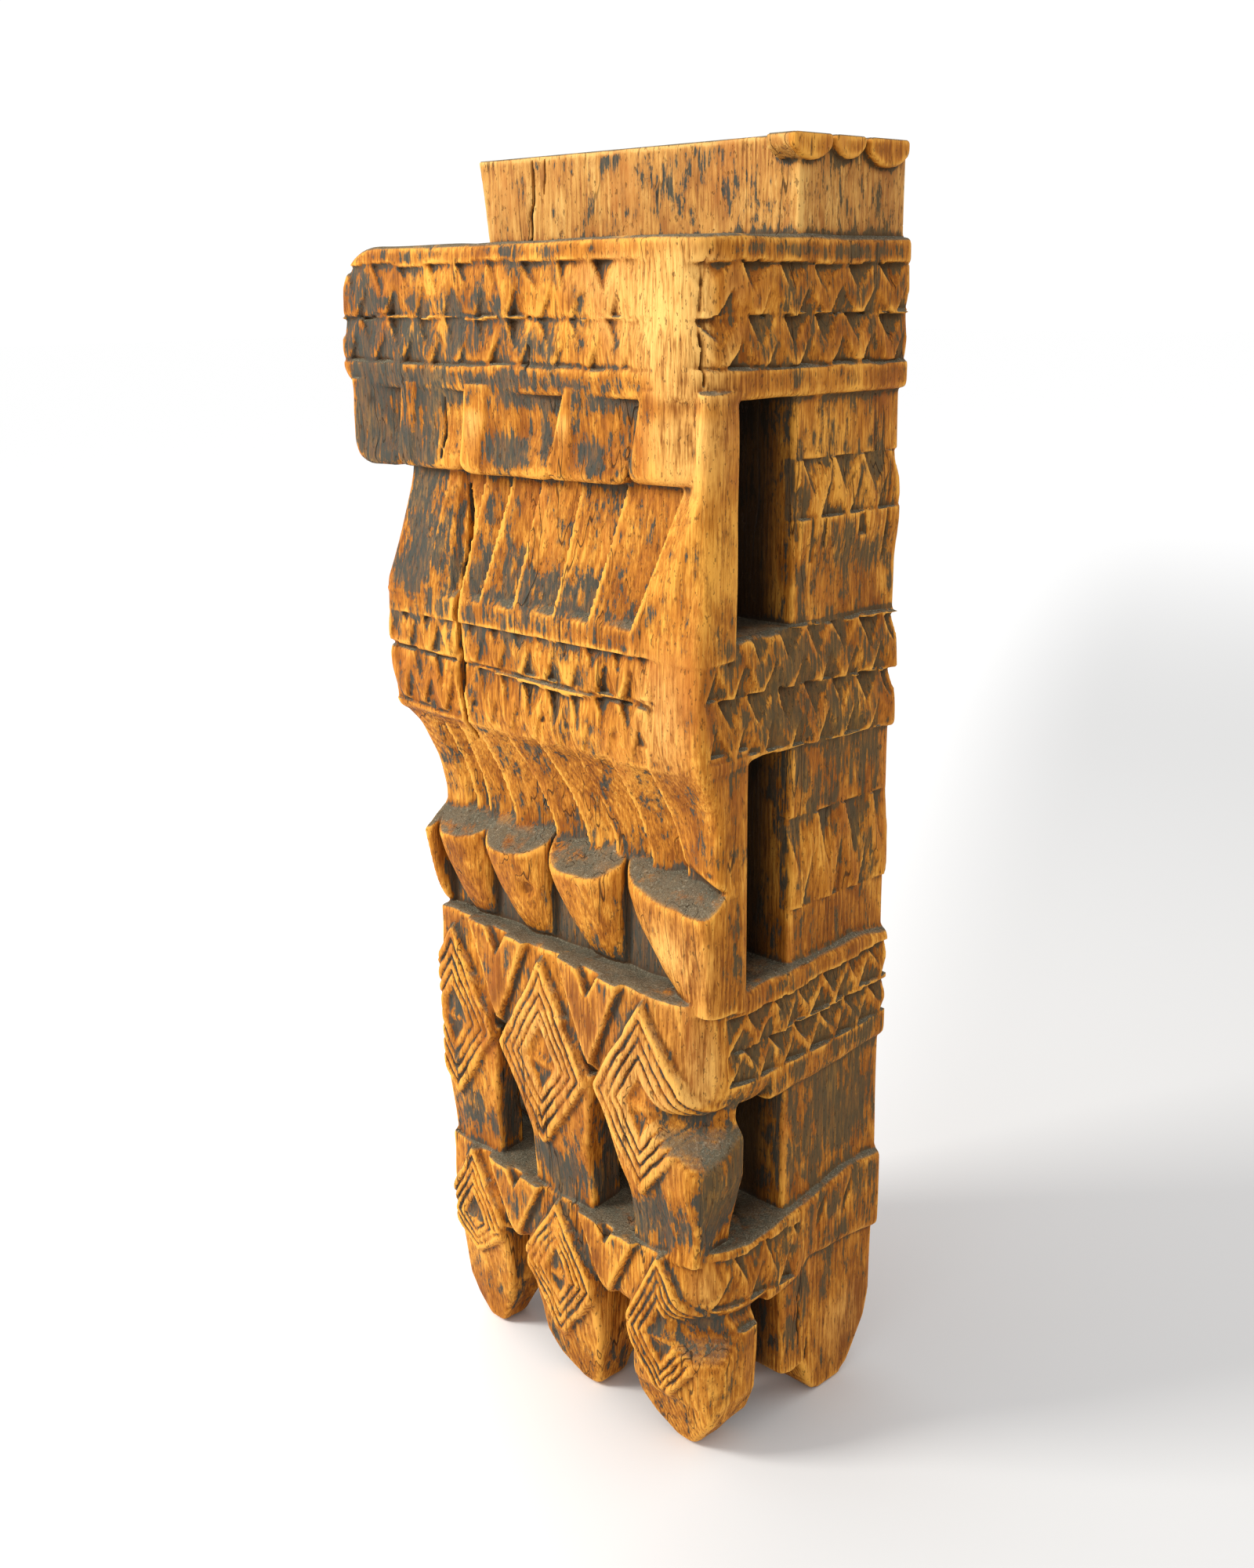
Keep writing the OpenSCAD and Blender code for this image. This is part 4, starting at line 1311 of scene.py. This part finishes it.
def patina_and_shade(n, f, colour, deep, gain):
    """Dark patches, ragged along the grain: slate on the front, brown on the sides; where the spot table
    and the chip pits call for painted shade, the patches are painted shade.
    Returns the colour and where the patches are."""
    ragged = n.noise(f.place, (42, 42, 24), 5, 0.7, 0.4)
    flecks = n.noise(f.place, (110, 110, 30), 4, 0.7)
    patches = n.weighted([(ragged, 0.52), (f.threads, 0.38), (f.clouds, 0.20), (flecks, 0.26),
                          (f.soot_shade_level, 0.135 * gain), (f.hollow, 0.65), (f.crease, 0.25)])
    patch = n.ramp(patches, 0.722, 0.760)
    dark = n.mix(n.times(f.on_side, 0.8), SLATE_PATINA_AND_SHADE, BROWN_PATINA_AND_SHADE)
    dark = n.mix(n.times(n.ramp(f.fibres, 0.45, 0.75), 0.3), dark, BROWN_PATINA_AND_SHADE)
    cover = n.weighted([(1.0, 0.76), (n.ramp(f.threads, 0.40, 0.58), 0.20)])
    colour = n.mix(n.times(patch, cover), colour, dark)
    halo = n.times(n.ramp(patches, 0.64, 0.74), n.math("SUBTRACT", 1.0, patch))
    return n.mix(n.times(halo, 0.6), colour, deep), patch


def grime_and_shade(n, f, colour):
    """Grime and painted shade in the cut lines and chips; painted shade, near black, deep inside the slots.
    """
    # Dirt and painted shade: darker in the hollows and creases
    dirt_and_shade = n.math("MAXIMUM", n.ramp(f.hollow, 0.03, 0.20), n.ramp(f.crease, 0.06, 0.20))
    colour = n.mix(n.times(dirt_and_shade, 0.75), colour, GRIME_AND_SHADE)
    # Painted shade: near black deep inside the slots
    return n.mix(n.times(f.deep_in, 0.95), colour, PAINTED_SLOT_SHADE)


def dust(n, f, colour):
    """Dust on whatever faces up. Returns the colour, where the dust is, and its fibres."""
    dusty = n.ramp(n.noise(f.place, (45, 45, 45), 4, 0.6), 0.28, 0.48)
    on_top = n.times(n.ramp(f.up, 0.42, 0.78), dusty)
    on_top = n.times(on_top, n.math("SUBTRACT", 1.0, n.times(f.deep_in, 0.7)))
    fluff = n.ramp(n.noise(f.place, (300, 300, 300), 3, 0.75, 2.5), 0.42, 0.72)
    return n.mix(n.times(on_top, 0.92), colour, n.mix(fluff, DUST, PALE_DUST)), on_top, fluff


def fine_marks(n, f, colour):
    """Hair cracks and specks. Returns the colour, the cracks and the specks."""
    lines = n.math("ABSOLUTE", n.math("SUBTRACT", n.noise(f.place, (48, 48, 2.6), 2, 0.5, 0.2), 0.5))
    thin = n.math("SUBTRACT", 1.0, n.ramp(lines, 0.001, 0.006))
    thin = n.times(thin, n.ramp(n.noise(f.place, (14, 14, 7), 2), 0.44, 0.56))
    specks = n.ramp(n.noise(f.place, (380, 380, 150), 2, 0.7), 0.61, 0.69)
    colour = n.mix(n.times(thin, 0.8), colour, CRACK)
    return n.mix(n.times(specks, 0.6), colour, GRIME_AND_SHADE), thin, specks


def wood_material(name, light, middle, deep, patina_and_shade_gain):
    """Weathered softwood, from three colours of bare wood and the share of patina and painted shade on it.
    """
    n = Nodes(name)
    f = wood_fields(n)
    colour = bare_wood(n, f, light, middle, deep)
    colour, patch = patina_and_shade(n, f, colour, deep, patina_and_shade_gain)
    colour = grime_and_shade(n, f, colour)
    colour, on_top, fluff = dust(n, f, colour)
    colour, thin, specks = fine_marks(n, f, colour)
    n.put(n.shader.inputs["Base Color"], colour)

    rough = n.weighted([(patch, 0.12), (on_top, 0.3), (f.fibres, 0.2), (1.0, 0.50)])
    n.put(n.shader.inputs["Roughness"], rough)
    n.shader.inputs["Specular IOR Level"].default_value = 0.10

    height = n.weighted([(f.rings, 0.2), (f.fibres, 1.3), (f.streaks, 0.6), (thin, -2.0), (specks, -0.6),
                         (n.times(on_top, fluff), 2.0)])
    bump = n.add("ShaderNodeBump", {"Height": height, "Strength": 0.7, "Distance": 0.0009}).outputs[0]
    n.put(n.shader.inputs["Normal"], bump)
    return n.material


# ---------------------------------------------------------------- camera, floor and light

def make_camera():
    """Three-quarter view from the front right, at the height of the crown, looking down."""
    yaw, pitch, roll = math.radians(134.98), math.radians(-16.46), math.radians(-0.67)
    forward = Vector((math.cos(yaw) * math.cos(pitch), math.sin(yaw) * math.cos(pitch), math.sin(pitch)))
    right = forward.cross(Vector((0, 0, 1))).normalized()
    above = right.cross(forward)
    across = math.cos(roll) * right + math.sin(roll) * above
    up = -math.sin(roll) * right + math.cos(roll) * above
    matrix = Matrix((across, up, -forward)).transposed().to_4x4()
    matrix.translation = (0.944, -0.934, 0.902)
    data = bpy.data.cameras.new("camera")
    data.lens = 38.52
    data.sensor_width = 36
    camera = bpy.data.objects.new("camera", data)
    camera.matrix_world = matrix
    bpy.context.scene.collection.objects.link(camera)
    bpy.context.scene.camera = camera


def floor_material():
    """White paper, painted a little grey behind the right of the bracket as a soft shadow."""
    n = Nodes("pale_floor")
    place = n.add("ShaderNodeTexCoord").outputs["Object"]
    behind = n.add("ShaderNodeVectorMath", {0: place, 1: (0.9, 0.42, 0.0)}, operation="DOT_PRODUCT")
    away = n.add("ShaderNodeVectorMath", {0: place}, operation="LENGTH")
    near_by = n.ramp(away.outputs["Value"], 6.0, 2.0)
    # Painted shadow: the floor darkens to grey along the line where the bracket's shadow falls
    painted_shadow = n.times(n.ramp(behind.outputs["Value"], -0.30, 0.25), near_by)
    colour = n.mix(painted_shadow, (0.96, 0.96, 0.96, 1), (0.66, 0.66, 0.66, 1))
    n.put(n.shader.inputs["Base Color"], colour)
    n.shader.inputs["Roughness"].default_value = 0.9
    n.shader.inputs["Specular IOR Level"].default_value = 0.0
    return n.material


def area_light(name, place, aim, size, watts, colour):
    data = bpy.data.lights.new(name, "AREA")
    data.size = size
    data.energy = watts
    data.color = colour
    lamp = bpy.data.objects.new(name, data)
    lamp.location = place
    lamp.rotation_euler = (Vector(aim) - Vector(place)).to_track_quat("-Z", "Y").to_euler()
    bpy.context.scene.collection.objects.link(lamp)


def make_studio():
    """A wide pale floor, an even white sky and one warm light from the front left."""
    size = 30
    corners = [(-size, -size, 0), (size, -size, 0), (size, size, 0), (-size, size, 0)]
    floor_mesh = bpy.data.meshes.new("floor")
    floor_mesh.from_pydata(corners, [], [(0, 1, 2, 3)])
    floor_mesh.materials.append(floor_material())
    floor = bpy.data.objects.new("floor", floor_mesh)
    bpy.context.scene.collection.objects.link(floor)
    world = bpy.data.worlds.new("studio")
    bpy.context.scene.world = world
    world.use_nodes = True
    background = world.node_tree.nodes["Background"]
    background.inputs["Color"].default_value = (1, 1, 1, 1)
    background.inputs["Strength"].default_value = 1.04
    area_light("key", (-1.5, -2.1, 2.0), (0, 0, 0.5), 0.9, 88, (1.0, 0.97, 0.92))
    bpy.context.scene.view_settings.view_transform = "Standard"


# ---------------------------------------------------------------- the bracket

make_camera()
make_studio()

carved = wood_material("carved_softwood", (0.74, 0.340, 0.050, 1), (0.46, 0.165, 0.016, 1),
                       (0.20, 0.056, 0.005, 1), 1.0)
pale = wood_material("pale_softwood", (0.70, 0.400, 0.115, 1), (0.55, 0.265, 0.060, 1),
                     (0.30, 0.110, 0.022, 1), 0.8)

for name, fills, cuts in pieces():
    mesh = carve(name, fills, cuts)
    mesh.materials.clear()
    mesh.materials.append(pale if name == "shaft" else carved)
    mesh.polygons.foreach_set("use_smooth", np.ones(len(mesh.polygons), bool))
    mesh.set_sharp_from_angle(angle=math.radians(50))
    piece = bpy.data.objects.new(name + "_sculpt", mesh)
    bpy.context.scene.collection.objects.link(piece)
    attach(piece, BODY)
    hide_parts(name)
